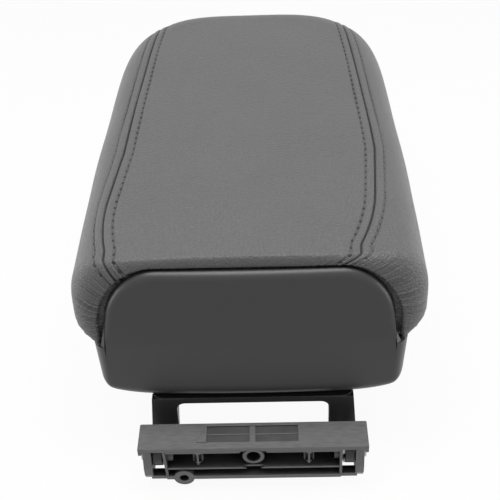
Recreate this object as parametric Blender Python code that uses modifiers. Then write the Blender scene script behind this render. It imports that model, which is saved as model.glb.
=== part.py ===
"""Center console armrest lid: a sewn leather pad on a moulded shell, hung on a goose-neck hinge.

Units are metres. X points right, Y forward from the hinge to the nose, and Z up. The origin lies on the
flat rear edge of the hinge base's bottom wall, in the middle. The lid is modelled closed.
"""

import math

import bmesh
import bpy
import numpy as np
from mathutils import Matrix, Vector

MM = 0.001
GAP = 0.3 * MM  # clearance between pieces that touch

# Pad, outside of the leather
PAD_TOP = 106.9 * MM
PAD_HEIGHT = 43.8 * MM
PAD_HALF_WIDTH = 82.5 * MM
PAD_REAR = 28.4 * MM
PAD_NOSE = 300 * MM
NOSE_START = 182 * MM  # from here the plan outline rounds off
NOSE_POWER = 3.5  # exponent of the rounded nose in plan
SEAM_HALF = 64.5 * MM  # half the distance between the two seams at their widest
PAD_CROWN = 1.6 * MM
SHOULDER_DROP = 28 * MM  # the side is upright from here down
BOTTOM_RADIUS = 9 * MM
FLAP = 13.5 * MM  # how far the leather turns in under the board
SEAM_GAP = 0.45 * MM  # each panel stops this far from the seam line
REAR_SEAM_GAP = 1.2 * MM  # more gap where the seam turns down into the arch
NOSE_DROOP = 1.5 * MM
LEATHER = 1.3 * MM

# Arch in the pad's rear end, where the shell's rear wall stands
ARCH_HALF = 70.3 * MM
ARCH_DROP = 2.6 * MM
ARCH_RADIUS = 33 * MM
ROLL_SIDE = 16 * MM  # length over which the side rolls into the arch
ROLL_TOP = 4 * MM
FLAP_INSET = 2 * MM  # how far the flap stays clear of the arch

# Lower shell
SHELL_HALF_WIDTH = 74.2 * MM
SHELL_NOSE = 286 * MM
SHELL_WALL = 2.8 * MM
SHELL_DEPTH = 32 * MM  # below the pad, at the rear
FRONT_DEPTH = 14 * MM  # below the pad, from the middle forward
SHELL_ARCH_HALF = 67 * MM
SHELL_ARCH_DROP = 4.6 * MM
SHELL_ARCH_RADIUS = 31 * MM
SHELL_LEAN = 6.6 * MM  # how far the rear wall leans out from its top to its foot
SHELL_BOTTOM_RADIUS = 7 * MM
SHELL_BOW = 2 * MM

# Hinge
PIN = Vector((0, 7 * MM, 10.5 * MM))
PIN_RADIUS = 2 * MM
BUSH_RADIUS = 3.3 * MM
EYE_RADIUS = 6 * MM
NECK_INNER = 16 * MM  # the arm passes round the base outside this radius
NECK_OUTER = 20 * MM
NECK_END = -60  # degrees, where the arm turns in to the pin
ARM_INSIDE = 36.9 * MM
ARM_OUTSIDE = 48.6 * MM
ARM_FLARE = 1.6 * MM
BLADE = (43.8 * MM, 48 * MM)

# Hinge base
BASE_HALF = 54 * MM
BASE_DEPTH = 15.2 * MM
BASE_FOOT = -1.2 * MM
BASE_TOP = 21.5 * MM
PLATE = 2.2 * MM
WALL = 2.4 * MM
RIB = 1.2 * MM
EAR = (48.5 * MM, 52.5 * MM)
POCKET_RIB = 41.6 * MM
SCREW_BOSS_X = -33.8 * MM
SCREW_BOSS_Z = -0.2 * MM
SCREW_HOLE_RADIUS = 2.25 * MM
CENTRE_BOSS_Z = 12.4 * MM
CUP_X = 26.4 * MM  # two hollow cups with a fin, left and right of the centre boss
CUP_Y = 2.8 * MM
CUP_TIP = 8.4 * MM
CUP_RADIUS = 2.5 * MM

PAD_BOTTOM = PAD_TOP - PAD_HEIGHT
SHELL_RIM = PAD_BOTTOM - GAP
SHELL_FLOOR = PAD_BOTTOM - SHELL_DEPTH
FRONT_FLOOR = PAD_BOTTOM - FRONT_DEPTH
BOARD_BOTTOM = PAD_BOTTOM + LEATHER + 2 * GAP
BOARD = 3.6 * MM
BOARD_HALF = 71.2 * MM
FOAM_REAR = PAD_REAR + 6.2 * MM


# Scene and materials

for old in list(bpy.data.objects):
    bpy.data.objects.remove(old, do_unlink=True)

lid_parts = bpy.data.collections.new("center_console_armrest_lid")
helpers = bpy.data.collections.new("cutters")
bpy.context.scene.collection.children.link(lid_parts)
bpy.context.scene.collection.children.link(helpers)


def material(name, colour, roughness, metallic=0.0):
    """A Principled material of one colour."""
    made = bpy.data.materials.new(name)
    made.use_nodes = True
    shader = made.node_tree.nodes["Principled BSDF"]
    shader.inputs["Base Color"].default_value = (*colour, 1)
    shader.inputs["Roughness"].default_value = roughness
    shader.inputs["Metallic"].default_value = metallic
    made.diffuse_color = (*colour, 1)
    return made


LEATHER_GREY = material("black_leather", (0.06, 0.06, 0.06), 0.55)
FOAM = material("foam", (0.5, 0.48, 0.4), 0.9)
SHELL_PLASTIC = material("shell_plastic", (0.045, 0.045, 0.045), 0.5)
BASE_PLASTIC = material("glass_filled_nylon", (0.07, 0.07, 0.07), 0.45)
BLACK_PLASTIC = material("black_plastic", (0.015, 0.015, 0.015), 0.4)
STEEL = material("zinc_plated_steel", (0.6, 0.6, 0.6), 0.3, 1.0)
RUBBER = material("rubber", (0.02, 0.02, 0.02), 0.8)


# Shapes

def add(name, mesh, finish=None):
    """A named object for the mesh, a helper if it has no finish."""
    made = bpy.data.objects.new(name, mesh)
    if finish is None:
        helpers.objects.link(made)
        made.hide_render = True
        made.display_type = "WIRE"
    else:
        lid_parts.objects.link(made)
        mesh.materials.append(finish)
    return made


def mesh_from(name, build):
    """A mesh filled by the function build, which works on a bmesh."""
    shape = bmesh.new()
    build(shape)
    bmesh.ops.recalc_face_normals(shape, faces=shape.faces)
    mesh = bpy.data.meshes.new(name)
    shape.to_mesh(mesh)
    shape.free()
    return mesh


def box(name, x, y, z, finish=None):
    """A block between the two values given for each of x, y and z."""
    low = Vector((min(x), min(y), min(z)))
    high = Vector((max(x), max(y), max(z)))
    place = Matrix.Translation((low + high) / 2) @ Matrix.Diagonal((*(high - low), 1))
    mesh = mesh_from(name, lambda shape: bmesh.ops.create_cube(shape, size=1, matrix=place))
    return add(name, mesh, finish)


def cylinder(name, start, end, radius, finish=None, sides=24, end_radius=None):
    """A cylinder, or a cone, whose axis runs from start to end."""
    start, end = Vector(start), Vector(end)
    turn = (end - start).to_track_quat("Z", "Y").to_matrix().to_4x4()
    place = Matrix.Translation((start + end) / 2) @ turn

    def build(shape):
        bmesh.ops.create_cone(
            shape,
            cap_ends=True,
            segments=sides,
            radius1=radius,
            radius2=radius if end_radius is None else end_radius,
            depth=(end - start).length,
            matrix=place,
        )

    return add(name, mesh_from(name, build), finish)


def without_straight_points(outline):
    """The outline without points that lie on the line between their neighbours."""
    kept = []
    for index, (x, y) in enumerate(outline):
        (ax, ay), (bx, by) = outline[index - 1], outline[(index + 1) % len(outline)]
        if abs((x - ax) * (by - y) - (y - ay) * (bx - x)) > 1e-9:
            kept.append((x, y))
    return kept


def prism(name, outline, axis, low, high, finish=None):
    """A flat closed outline, extruded from low to high along the axis "X", "Y" or "Z"."""
    outline = without_straight_points(outline)
    curve = bpy.data.curves.new(name, "CURVE")
    curve.dimensions = "2D"
    curve.fill_mode = "BOTH"
    curve.extrude = (high - low) / 2
    line = curve.splines.new("POLY")
    line.points.add(len(outline) - 1)
    line.use_cyclic_u = True
    for point, (a, b) in zip(line.points, outline):
        point.co = (a, b, 0, 1)
    carrier = bpy.data.objects.new(name, curve)
    helpers.objects.link(carrier)
    bpy.context.view_layer.update()
    graph = bpy.context.evaluated_depsgraph_get()
    mesh = bpy.data.meshes.new_from_object(carrier.evaluated_get(graph))
    bpy.data.objects.remove(carrier)
    middle = (low + high) / 2
    turns = {
        "X": Matrix(((0, 0, 1, middle), (1, 0, 0, 0), (0, 1, 0, 0), (0, 0, 0, 1))),
        "Y": Matrix(((1, 0, 0, 0), (0, 0, -1, middle), (0, 1, 0, 0), (0, 0, 0, 1))),
        "Z": Matrix.Translation((0, 0, middle)),
    }
    shape = bmesh.new()
    shape.from_mesh(mesh)
    bmesh.ops.remove_doubles(shape, verts=shape.verts, dist=0.001 * MM)
    bmesh.ops.transform(shape, matrix=turns[axis], verts=shape.verts)
    bmesh.ops.recalc_face_normals(shape, faces=shape.faces)
    shape.to_mesh(mesh)
    shape.free()
    return add(name, mesh, finish)


def join(target, *others):
    """Unites the helpers with the target."""
    for other in others:
        step = target.modifiers.new("join_" + other.name, "BOOLEAN")
        step.operation = "UNION"
        step.object = other
    return target


def cut(target, *others):
    """Cuts the helpers out of the target."""
    for other in others:
        step = target.modifiers.new("cut_" + other.name, "BOOLEAN")
        step.operation = "DIFFERENCE"
        step.object = other
    return target


def grid_mesh(name, points):
    """A mesh on a grid of points, rows by columns."""
    rows, columns = points.shape[:2]
    index = np.arange(rows * columns).reshape(rows, columns)
    quads = np.stack([index[:-1, :-1], index[:-1, 1:], index[1:, 1:], index[1:, :-1]], axis=-1)
    mesh = bpy.data.meshes.new(name)
    mesh.from_pydata(points.reshape(-1, 3).tolist(), [], quads.reshape(-1, 4).tolist())
    return mesh


def cleaned(mesh, outward=None):
    """Merges doubles, drops faces without area, and turns the faces towards outward if it is given."""
    shape = bmesh.new()
    shape.from_mesh(mesh)
    bmesh.ops.remove_doubles(shape, verts=shape.verts, dist=0.02 * MM)
    bmesh.ops.dissolve_degenerate(shape, edges=shape.edges, dist=0.01 * MM)
    bmesh.ops.recalc_face_normals(shape, faces=shape.faces)
    if outward is not None:
        direction = Vector(outward)
        shape.normal_update()
        if sum((face.normal.dot(direction) * face.calc_area() for face in shape.faces), 0.0) < 0:
            bmesh.ops.reverse_faces(shape, faces=shape.faces)
    shape.to_mesh(mesh)
    shape.free()
    return mesh


def rounded(low_x, high_x, low_y, high_y, radius, steps=5):
    """The outline of a rectangle with round corners."""
    corners = (
        (high_x - radius, high_y - radius, 0),
        (low_x + radius, high_y - radius, 90),
        (low_x + radius, low_y + radius, 180),
        (high_x - radius, low_y + radius, 270),
    )
    outline = []
    for x, y, first in corners:
        for step in range(steps + 1):
            angle = math.radians(first + 90 * step / steps)
            outline.append((x + radius * math.cos(angle), y + radius * math.sin(angle)))
    return outline


# Pad surface
#
# In plan the pad is a straight-sided outline that ends in a superellipse. Every point of the surface lies at
# a share of the way from the pad's axis to that outline, and its height depends on that share alone: flap,
# bottom radius, upright side, shoulder and crown. At the rear the surface rolls in to the arch.

def seam_x(y):
    """Half the distance between the seams at y."""
    y = np.asarray(y, float)
    rear = np.clip((86 * MM - y) / (51 * MM), 0, 1.15) ** 2
    front = np.clip((y - 110 * MM) / (176 * MM), 0, 1.1) ** 2.5
    return SEAM_HALF - 10.5 * MM * rear - 6.5 * MM * front


def pad_profile():
    """Length so far, share of the half width, and height, from the flap's end up to the axis."""
    half = PAD_HALF_WIDTH
    angle = np.radians(np.linspace(-90, 0, 9))
    bottom_x = half - BOTTOM_RADIUS + BOTTOM_RADIUS * np.cos(angle)
    bottom_z = -PAD_HEIGHT + BOTTOM_RADIUS + BOTTOM_RADIUS * np.sin(angle)
    sweep = np.radians(np.linspace(90, 0, 25))
    shoulder_x = SEAM_HALF + (half - SEAM_HALF) * np.sin(sweep) ** (2 / 2.3)
    shoulder_z = -SHOULDER_DROP + (SHOULDER_DROP - PAD_CROWN) * np.cos(sweep) ** (2 / 2.3)
    crown_x = np.linspace(SEAM_HALF, 0, 12)[1:]
    crown_z = -PAD_CROWN * (crown_x / SEAM_HALF) ** 2
    x = np.concatenate([[half - FLAP], bottom_x, shoulder_x, crown_x])
    z = np.concatenate([[-PAD_HEIGHT], bottom_z, shoulder_z, crown_z])
    length = np.concatenate([[0], np.cumsum(np.hypot(np.diff(x), np.diff(z)))])
    return length, x / half, z


LENGTH, SHARE, HEIGHT = pad_profile()
WALL_TOP = int(np.argmax(SHARE >= 1 - 1e-9)) + 1  # index of the shoulder's foot, the last place at share 1
UPPER = slice(WALL_TOP, None)


def arch_path():
    """The arch's right half from the flap's end up its side and round to the seam, as length, x and z."""
    seam = float(seam_x(PAD_REAR))
    centre_x = ARCH_HALF - ARCH_RADIUS
    centre_z = -ARCH_DROP - ARCH_RADIUS
    last = math.acos((seam - centre_x) / ARCH_RADIUS)
    angle = np.linspace(0, last, 14)
    x = np.concatenate([[ARCH_HALF + FLAP_INSET, ARCH_HALF], centre_x + ARCH_RADIUS * np.cos(angle)])
    z = np.concatenate([[-PAD_HEIGHT, -PAD_HEIGHT], centre_z + ARCH_RADIUS * np.sin(angle)])
    length = np.concatenate([[0], np.cumsum(np.hypot(np.diff(x), np.diff(z)))])
    return length / length[-1], x, z


ARCH_SHARE, ARCH_X, ARCH_Z = arch_path()


def arch_height(x):
    """Height of the arch over x."""
    beyond = np.clip(np.abs(x) - (ARCH_HALF - ARCH_RADIUS), 0, ARCH_RADIUS)
    return -ARCH_DROP - ARCH_RADIUS + np.sqrt(ARCH_RADIUS**2 - beyond**2)


def drooped(y, z):
    """The nose's top sinks, while the bottom stays level."""
    sink = NOSE_DROOP * np.clip((y - 150 * MM) / (PAD_NOSE - 150 * MM), 0, 1) ** 2.2
    return z - sink * (z + PAD_HEIGHT) / PAD_HEIGHT


def nose_outline(angle, half=PAD_HALF_WIDTH, length=PAD_NOSE - NOSE_START):
    """Plan outline of the nose, 90 degrees at the side and 0 at the tip."""
    turn = np.radians(angle)
    return half * np.sin(turn) ** (2 / NOSE_POWER), NOSE_START + length * np.cos(turn) ** (2 / NOSE_POWER)


SEAM_END = 56 * MM  # half the distance between the seams where they go down the nose
NOSE_LENGTH = PAD_NOSE - NOSE_START
END_ANGLE = math.degrees(math.asin((SEAM_END / PAD_HALF_WIDTH) ** (NOSE_POWER / 2)))
ROLL_ANGLES = (90, 68, 46, 23, 0)
STRAIGHT = [y * MM for y in (58, 75, 95, 120, 150, 182)]
NOSE_ANGLES = [90 - (90 - END_ANGLE) * share for share in (0.25, 0.45, 0.62, 0.78, 0.9, 1)]
SIDE_ROWS = np.concatenate([[0], np.linspace(0.14, 0.33, 4), np.linspace(0.33, 1, 9)[1:]])
CENTRE_COLUMNS = np.linspace(-1, 1, 13)


def rolled(x, z, arch_x, arch_z, reach):
    """The stations behind the straight part: a quarter turn from the arch out to the full section."""
    stations = []
    for angle in ROLL_ANGLES:
        share = 1 - math.cos(math.radians(angle))
        y = PAD_REAR + reach * (1 - math.sin(math.radians(angle)))
        stations.append((x + (arch_x - x) * share, y, z + (arch_z - z) * share))
    return stations


def side_panel_points():
    """The right side panel: rows from the flap to the seam, one station after another from rear to nose."""
    stations = []
    end = np.interp(float(seam_x(45 * MM)) / PAD_HALF_WIDTH, SHARE[UPPER][::-1], LENGTH[UPPER][::-1])
    along = end * SIDE_ROWS
    x = PAD_HALF_WIDTH * np.interp(along, LENGTH, SHARE)
    z = np.interp(along, LENGTH, HEIGHT)
    reach = ROLL_TOP + (ROLL_SIDE - ROLL_TOP) * np.clip((1 - SIDE_ROWS) / 0.45 + 0.35, 0, 1)
    arch_x = np.interp(SIDE_ROWS, ARCH_SHARE, ARCH_X)
    arch_z = np.interp(SIDE_ROWS, ARCH_SHARE, ARCH_Z)
    stations += rolled(x, z, arch_x, arch_z, reach)
    for y in STRAIGHT:
        end = np.interp(float(seam_x(y)) / PAD_HALF_WIDTH, SHARE[UPPER][::-1], LENGTH[UPPER][::-1])
        along = end * SIDE_ROWS
        x = PAD_HALF_WIDTH * np.interp(along, LENGTH, SHARE)
        stations.append((x, np.full_like(x, y), np.interp(along, LENGTH, HEIGHT)))
    for angle in NOSE_ANGLES:
        out_x, out_y = nose_outline(angle)
        share = 1.0
        for _ in range(30):
            y = NOSE_START + share * (out_y - NOSE_START)
            share = min(1.0, float(seam_x(y)) / out_x)
        end = np.interp(share, SHARE[UPPER][::-1], LENGTH[UPPER][::-1])
        if angle == NOSE_ANGLES[-1]:
            end = LENGTH[WALL_TOP]
        along = end * SIDE_ROWS
        share = np.interp(along, LENGTH, SHARE)
        y = NOSE_START + share * (out_y - NOSE_START)
        stations.append((share * out_x, y, np.interp(along, LENGTH, HEIGHT)))
    points = np.array([np.stack(np.broadcast_arrays(*station), axis=-1) for station in stations])
    points[..., 2] = drooped(points[..., 1], points[..., 2]) + PAD_TOP
    return points


def centre_panel_points(side):
    """The centre panel between the seams, from the rear over the top and down the nose to the flap."""
    stations = []
    across = np.abs(CENTRE_COLUMNS)
    rear_x = CENTRE_COLUMNS * float(seam_x(45 * MM))
    arch_x = CENTRE_COLUMNS * float(ARCH_X[-1])
    seam_reach = ROLL_TOP + (ROLL_SIDE - ROLL_TOP) * 0.35
    reach = ROLL_TOP + (seam_reach - ROLL_TOP) * np.clip((across - 0.5) / 0.5, 0, 1) ** 2
    top = np.interp(np.abs(rear_x) / PAD_HALF_WIDTH, SHARE[UPPER][::-1], HEIGHT[UPPER][::-1])
    stations += rolled(rear_x, top, arch_x, arch_height(arch_x), reach)
    seam = side[len(stations):, -1]
    for x_end, y_end, _ in seam:
        x = CENTRE_COLUMNS * x_end
        ahead = max(0.0, y_end - NOSE_START) / NOSE_LENGTH
        level = ((x_end / PAD_HALF_WIDTH) ** NOSE_POWER + ahead**NOSE_POWER) ** (1 / NOSE_POWER)
        inner = np.clip(level**NOSE_POWER - (np.abs(x) / PAD_HALF_WIDTH) ** NOSE_POWER, 0, None)
        curved = NOSE_START + NOSE_LENGTH * inner ** (1 / NOSE_POWER)
        blend = np.clip((y_end - 120 * MM) / (seam[-1][1] - 120 * MM), 0, 1) ** 2
        y = np.maximum(y_end, y_end * (1 - blend) + curved * blend)
        ahead = np.clip(y - NOSE_START, 0, None) / NOSE_LENGTH
        share = ((np.abs(x) / PAD_HALF_WIDTH) ** NOSE_POWER + ahead**NOSE_POWER) ** (1 / NOSE_POWER)
        share = np.minimum(share, 1)
        z = np.interp(share, SHARE[UPPER][::-1], HEIGHT[UPPER][::-1])
        stations.append((x, y, z))
    out_x = CENTRE_COLUMNS * SEAM_END
    level = (np.abs(out_x) / PAD_HALF_WIDTH) ** NOSE_POWER
    out_y = NOSE_START + NOSE_LENGTH * (1 - level) ** (1 / NOSE_POWER)
    for row in SIDE_ROWS[-2::-1]:
        along = LENGTH[WALL_TOP] * row
        share = float(np.interp(along, LENGTH, SHARE))
        height = float(np.interp(along, LENGTH, HEIGHT))
        y = NOSE_START + share * (out_y - NOSE_START)
        stations.append((share * out_x, y, np.full_like(out_x, height)))
    points = np.array([np.stack(np.broadcast_arrays(*station), axis=-1) for station in stations])
    points[..., 2] = drooped(points[..., 1], points[..., 2]) + PAD_TOP
    return points


def skin(name, points, thickness, finish, outward):
    """An open surface given a wall on its inner side."""
    made = add(name, cleaned(grid_mesh(name, points), outward), finish)
    wall = made.modifiers.new("thickness", "SOLIDIFY")
    wall.thickness = thickness
    wall.offset = -1
    return made


def leather_cover():
    """The sewn cover: a centre panel and two side panels, each ending just short of the seam."""
    side = side_panel_points()
    centre = centre_panel_points(side)
    middle = (centre[:, :1] + centre[:, -1:]) / 2
    centre = middle + (centre - middle) * (1 - SEAM_GAP / SEAM_END)
    skin("centre_panel", centre, LEATHER, LEATHER_GREY, (0, 0, 1))
    shifted = side.copy()
    shifted[..., 0] += SEAM_GAP * SIDE_ROWS**2
    shifted[:len(ROLL_ANGLES), :, 0] += REAR_SEAM_GAP * SIDE_ROWS**8
    shifted[-1, :, 0] += SEAM_GAP * (1 - SIDE_ROWS**2)
    skin("right_side_panel", shifted, LEATHER, LEATHER_GREY, (1, 0, 0))
    mirrored = shifted * (-1, 1, 1)
    skin("left_side_panel", mirrored, LEATHER, LEATHER_GREY, (-1, 0, 0))


# Foam and board

def plan_outline(half, rear, nose, corner, steps=4):
    """Right half of a plan outline, from the rear centre round to the tip of the nose."""
    outline = [(0, rear), (half / 2, rear)]
    for step in range(steps + 1):
        angle = math.radians(90 * step / steps)
        outline.append((half - corner + corner * math.sin(angle), rear + corner - corner * math.cos(angle)))
    outline += [(half, y * MM) for y in (75, 120, 160)]
    for angle in (90, 70, 50, 35, 22, 10, 0):
        x, y = nose_outline(angle, half, nose - NOSE_START)
        outline.append((float(x), float(y)))
    return np.array(outline)


def both_halves(mesh, merge):
    """A bmesh with the right half and its mirror image, joined along the middle."""
    shape = bmesh.new()
    shape.from_mesh(mesh)
    half = shape.verts[:] + shape.edges[:] + shape.faces[:]
    bmesh.ops.mirror(shape, geom=half, axis="X", merge_dist=0.01 * MM)
    bmesh.ops.remove_doubles(shape, verts=shape.verts, dist=merge)
    return shape


def foam_points():
    """Right half of the foam's surface, row by row from the middle of its floor to the crown."""
    skin_depth = LEATHER + 1.2 * MM  # the leather's flat facets cut inside the true curve
    rear = FOAM_REAR
    outline = plan_outline(PAD_HALF_WIDTH - skin_depth, rear, PAD_NOSE - skin_depth - 2 * MM, 7 * MM)
    foot = BOARD_BOTTOM + BOARD + GAP - PAD_TOP
    lengths = np.linspace(np.interp(foot, HEIGHT[:WALL_TOP], LENGTH[:WALL_TOP]), LENGTH[-1], 11)
    rows = []
    for along in lengths:
        share = float(np.interp(along, LENGTH, SHARE))
        height = float(np.interp(along, LENGTH, HEIGHT))
        height = foot if along == lengths[0] else height - skin_depth * (height + PAD_HEIGHT) / PAD_HEIGHT
        axis_y = np.clip(outline[:, 1], rear, NOSE_START)
        x = outline[:, 0] * share
        y = axis_y + (outline[:, 1] - axis_y) * share
        sink = 1.2 * MM * np.clip((45 * MM - y) / (12 * MM), 0, 1)
        x = x * (1 - 0.05 * np.clip((47 * MM - y) / (12 * MM), 0, 1))
        z = np.maximum(drooped(y, height) - sink, foot)
        rows.append(np.stack([x, y, z], axis=-1))
    floor = rows[0].copy()
    floor[:, 0] = 0
    points = np.array([floor] + rows)
    points[..., 2] += PAD_TOP
    return points


def foam_and_board():
    """The foam, closed at its rear end, and the board that it is moulded on."""
    foam = add("foam_pad", grid_mesh("foam_pad", foam_points()), FOAM)
    shape = both_halves(foam.data, 0.02 * MM)
    bmesh.ops.holes_fill(shape, edges=[edge for edge in shape.edges if edge.is_boundary], sides=0)
    bmesh.ops.dissolve_degenerate(shape, edges=shape.edges, dist=0.01 * MM)
    bmesh.ops.recalc_face_normals(shape, faces=shape.faces)
    shape.to_mesh(foam.data)
    shape.free()

    half = plan_outline(BOARD_HALF, FOAM_REAR, PAD_NOSE - 9 * MM, 9 * MM)
    outline = [tuple(point) for point in half] + [(-x, y) for x, y in half[-2:0:-1]]
    board = prism("pad_board", outline, "Z", BOARD_BOTTOM, BOARD_BOTTOM + BOARD, BLACK_PLASTIC)
    for name, x, y, _ in shell_screw_places():
        start, end = (x, y, BOARD_BOTTOM - MM), (x, y, BOARD_BOTTOM + BOARD + MM)
        cut(board, cylinder(name + "_hole", start, end, 2.2 * MM))


# Lower shell

def rear_wall_y(x, z):
    """The rear wall leans out towards its foot and is slightly bowed."""
    top = PAD_TOP - SHELL_ARCH_DROP
    down = (top - z) / (top - SHELL_FLOOR)
    return 27.6 * MM - SHELL_LEAN * down + SHELL_BOW * (x / SHELL_ARCH_HALF) ** 2


def floor_height(y):
    """Deep over the hinge, then a slope up to the shallow front."""
    share = np.clip((y - 92 * MM) / (34 * MM), 0, 1)
    return SHELL_FLOOR + (FRONT_FLOOR - SHELL_FLOOR) * share * share * (3 - 2 * share)


def shell_columns():
    """Right half of the shell's outline: x, y, height of the rim and the direction inward.

    On the rear wall y is None, because the wall's own formula gives it.
    """
    columns = []
    for x in (0, 18, 34, 42, 50, 56, 61, 64.5, 66.4, 67):
        x *= MM
        beyond = max(0.0, x - (SHELL_ARCH_HALF - SHELL_ARCH_RADIUS))
        rim = PAD_TOP - SHELL_ARCH_DROP - SHELL_ARCH_RADIUS + math.sqrt(SHELL_ARCH_RADIUS**2 - beyond**2)
        columns.append((x, None, rim, (0.0, 1.0)))
    corner = 12 * MM
    side_step = SHELL_HALF_WIDTH - SHELL_ARCH_HALF
    for angle in (20, 45, 68, 90):
        turn = math.radians(angle)
        x = SHELL_ARCH_HALF + side_step * math.sin(turn)
        y = CORNER_REAR + corner * (1 - math.cos(turn))
        columns.append((x, y, SHELL_RIM, (-math.sin(turn), math.cos(turn))))
    columns += [(SHELL_HALF_WIDTH, y * MM, SHELL_RIM, (-1.0, 0.0)) for y in (60, 80, 95, 110, 126, 154, 182)]
    for angle in (68, 50, 35, 22, 10, 0):
        x, y = (float(value) for value in nose_outline(angle, SHELL_HALF_WIDTH, SHELL_NOSE - NOSE_START))
        away = Vector((x, y - NOSE_START)).normalized()
        columns.append((x, y, SHELL_RIM, (-away.x, -away.y)))
    return columns


CORNER_REAR = 25.6 * MM  # where the rear wall's line meets the rounded corners, at the rim
FLOOR_AXIS = 58 * MM  # rearmost point of the floor's middle line
CORNER_FLOOR = Vector((64.3 * MM, 33 * MM))  # where the floor begins inside the rear corner
CORNER_PULL = 0.54  # how far the rear wall's foot turns in towards the middle, for each unit it goes forward
WALL_ROWS = (0, 0.2, 0.45, 0.7, 1)
RADIUS_ANGLES = (30, 60, 90)
SIDE_DRAFT = 0.075


def shell_column(x, y, rim, inward):
    """One line of the outer surface, from the rim down the wall and along the floor to its middle."""
    on_rear = y is None
    in_corner = not on_rear and y < 50 * MM
    floor = float(floor_height(FLOOR_AXIS if on_rear else y))
    radius = min(SHELL_BOTTOM_RADIUS, (SHELL_RIM - floor) * 0.7)
    column = []
    for share in WALL_ROWS:
        z = rim + (floor + radius - rim) * share
        depth = max(0.0, SHELL_RIM - z)
        draft = SIDE_DRAFT * depth
        if on_rear:
            column.append((x * (1 - 0.6 * draft / SHELL_ARCH_HALF), float(rear_wall_y(x, z)), z))
        else:
            lean = SHELL_LEAN * depth / (PAD_TOP - SHELL_FLOOR) if in_corner else 0.0
            column.append((x + inward[0] * draft, y + inward[1] * draft * 0.3 - lean, z))
    foot = column[-1]
    step_x, step_y = inward[0] * radius, inward[1] * radius
    if on_rear:
        step_x = -CORNER_PULL * radius * x / SHELL_ARCH_HALF
    elif in_corner:
        step_x = CORNER_FLOOR.x - 0.6 * MM * inward[0] - foot[0]
        step_y = CORNER_FLOOR.y - 0.6 * MM * inward[1] - foot[1]
    for angle in RADIUS_ANGLES:
        turn = math.radians(angle)
        share = 1 - math.cos(turn)
        z = floor + radius * (1 - math.sin(turn))
        column.append((foot[0] + step_x * share, foot[1] + step_y * share, z))
    last = column[-1]
    target_y = FLOOR_AXIS if on_rear or in_corner else min(y, NOSE_START)
    for share in (0.5, 1):
        y_in = last[1] + (target_y - last[1]) * share
        column.append((last[0] * (1 - share), y_in, floor))
    return column


def shell_points():
    """Right half of the shell's outer surface, one column for each place on the outline."""
    return np.array([shell_column(*place) for place in shell_columns()])


def shell_screw_places():
    """Name, x, y and floor height of the four screws that hold the shell to the board."""
    return [
        ("shell_screw_rear_left", -52 * MM, 66 * MM, SHELL_FLOOR),
        ("shell_screw_rear_right", 52 * MM, 66 * MM, SHELL_FLOOR),
        ("shell_screw_front_left", -50 * MM, 226 * MM, FRONT_FLOOR),
        ("shell_screw_front_right", 50 * MM, 226 * MM, FRONT_FLOOR),
    ]


def bracket_screw_places():
    """Name, x and y of the four screws that hold the bracket to the shell."""
    return [
        (f"bracket_screw_{row}_{side}", sign * 28 * MM, y * MM)
        for row, y in (("rear", 44), ("front", 60))
        for side, sign in (("left", -1), ("right", 1))
    ]


LATCH_HALF = 21 * MM
LATCH_Y = 271 * MM
LATCH_Z = FRONT_FLOOR + 6.2 * MM
LATCH_PIN_RADIUS = 1.5 * MM
PIN_END = 1.9 * MM  # how far the latch pin reaches into each lug
LUG_Y = (263.3 * MM, 279.2 * MM)
MOUTH_Y = (259 * MM, 293 * MM)
SEAT_DEPTH = 8 * MM  # the shell screws' heads sit this far below the rim
BOSS_HEIGHT = 15 * MM
BUMPER_PLACES = (("bumper_left", -57 * MM), ("bumper_right", 57 * MM))
BUMPER_Y = 249 * MM


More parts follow.
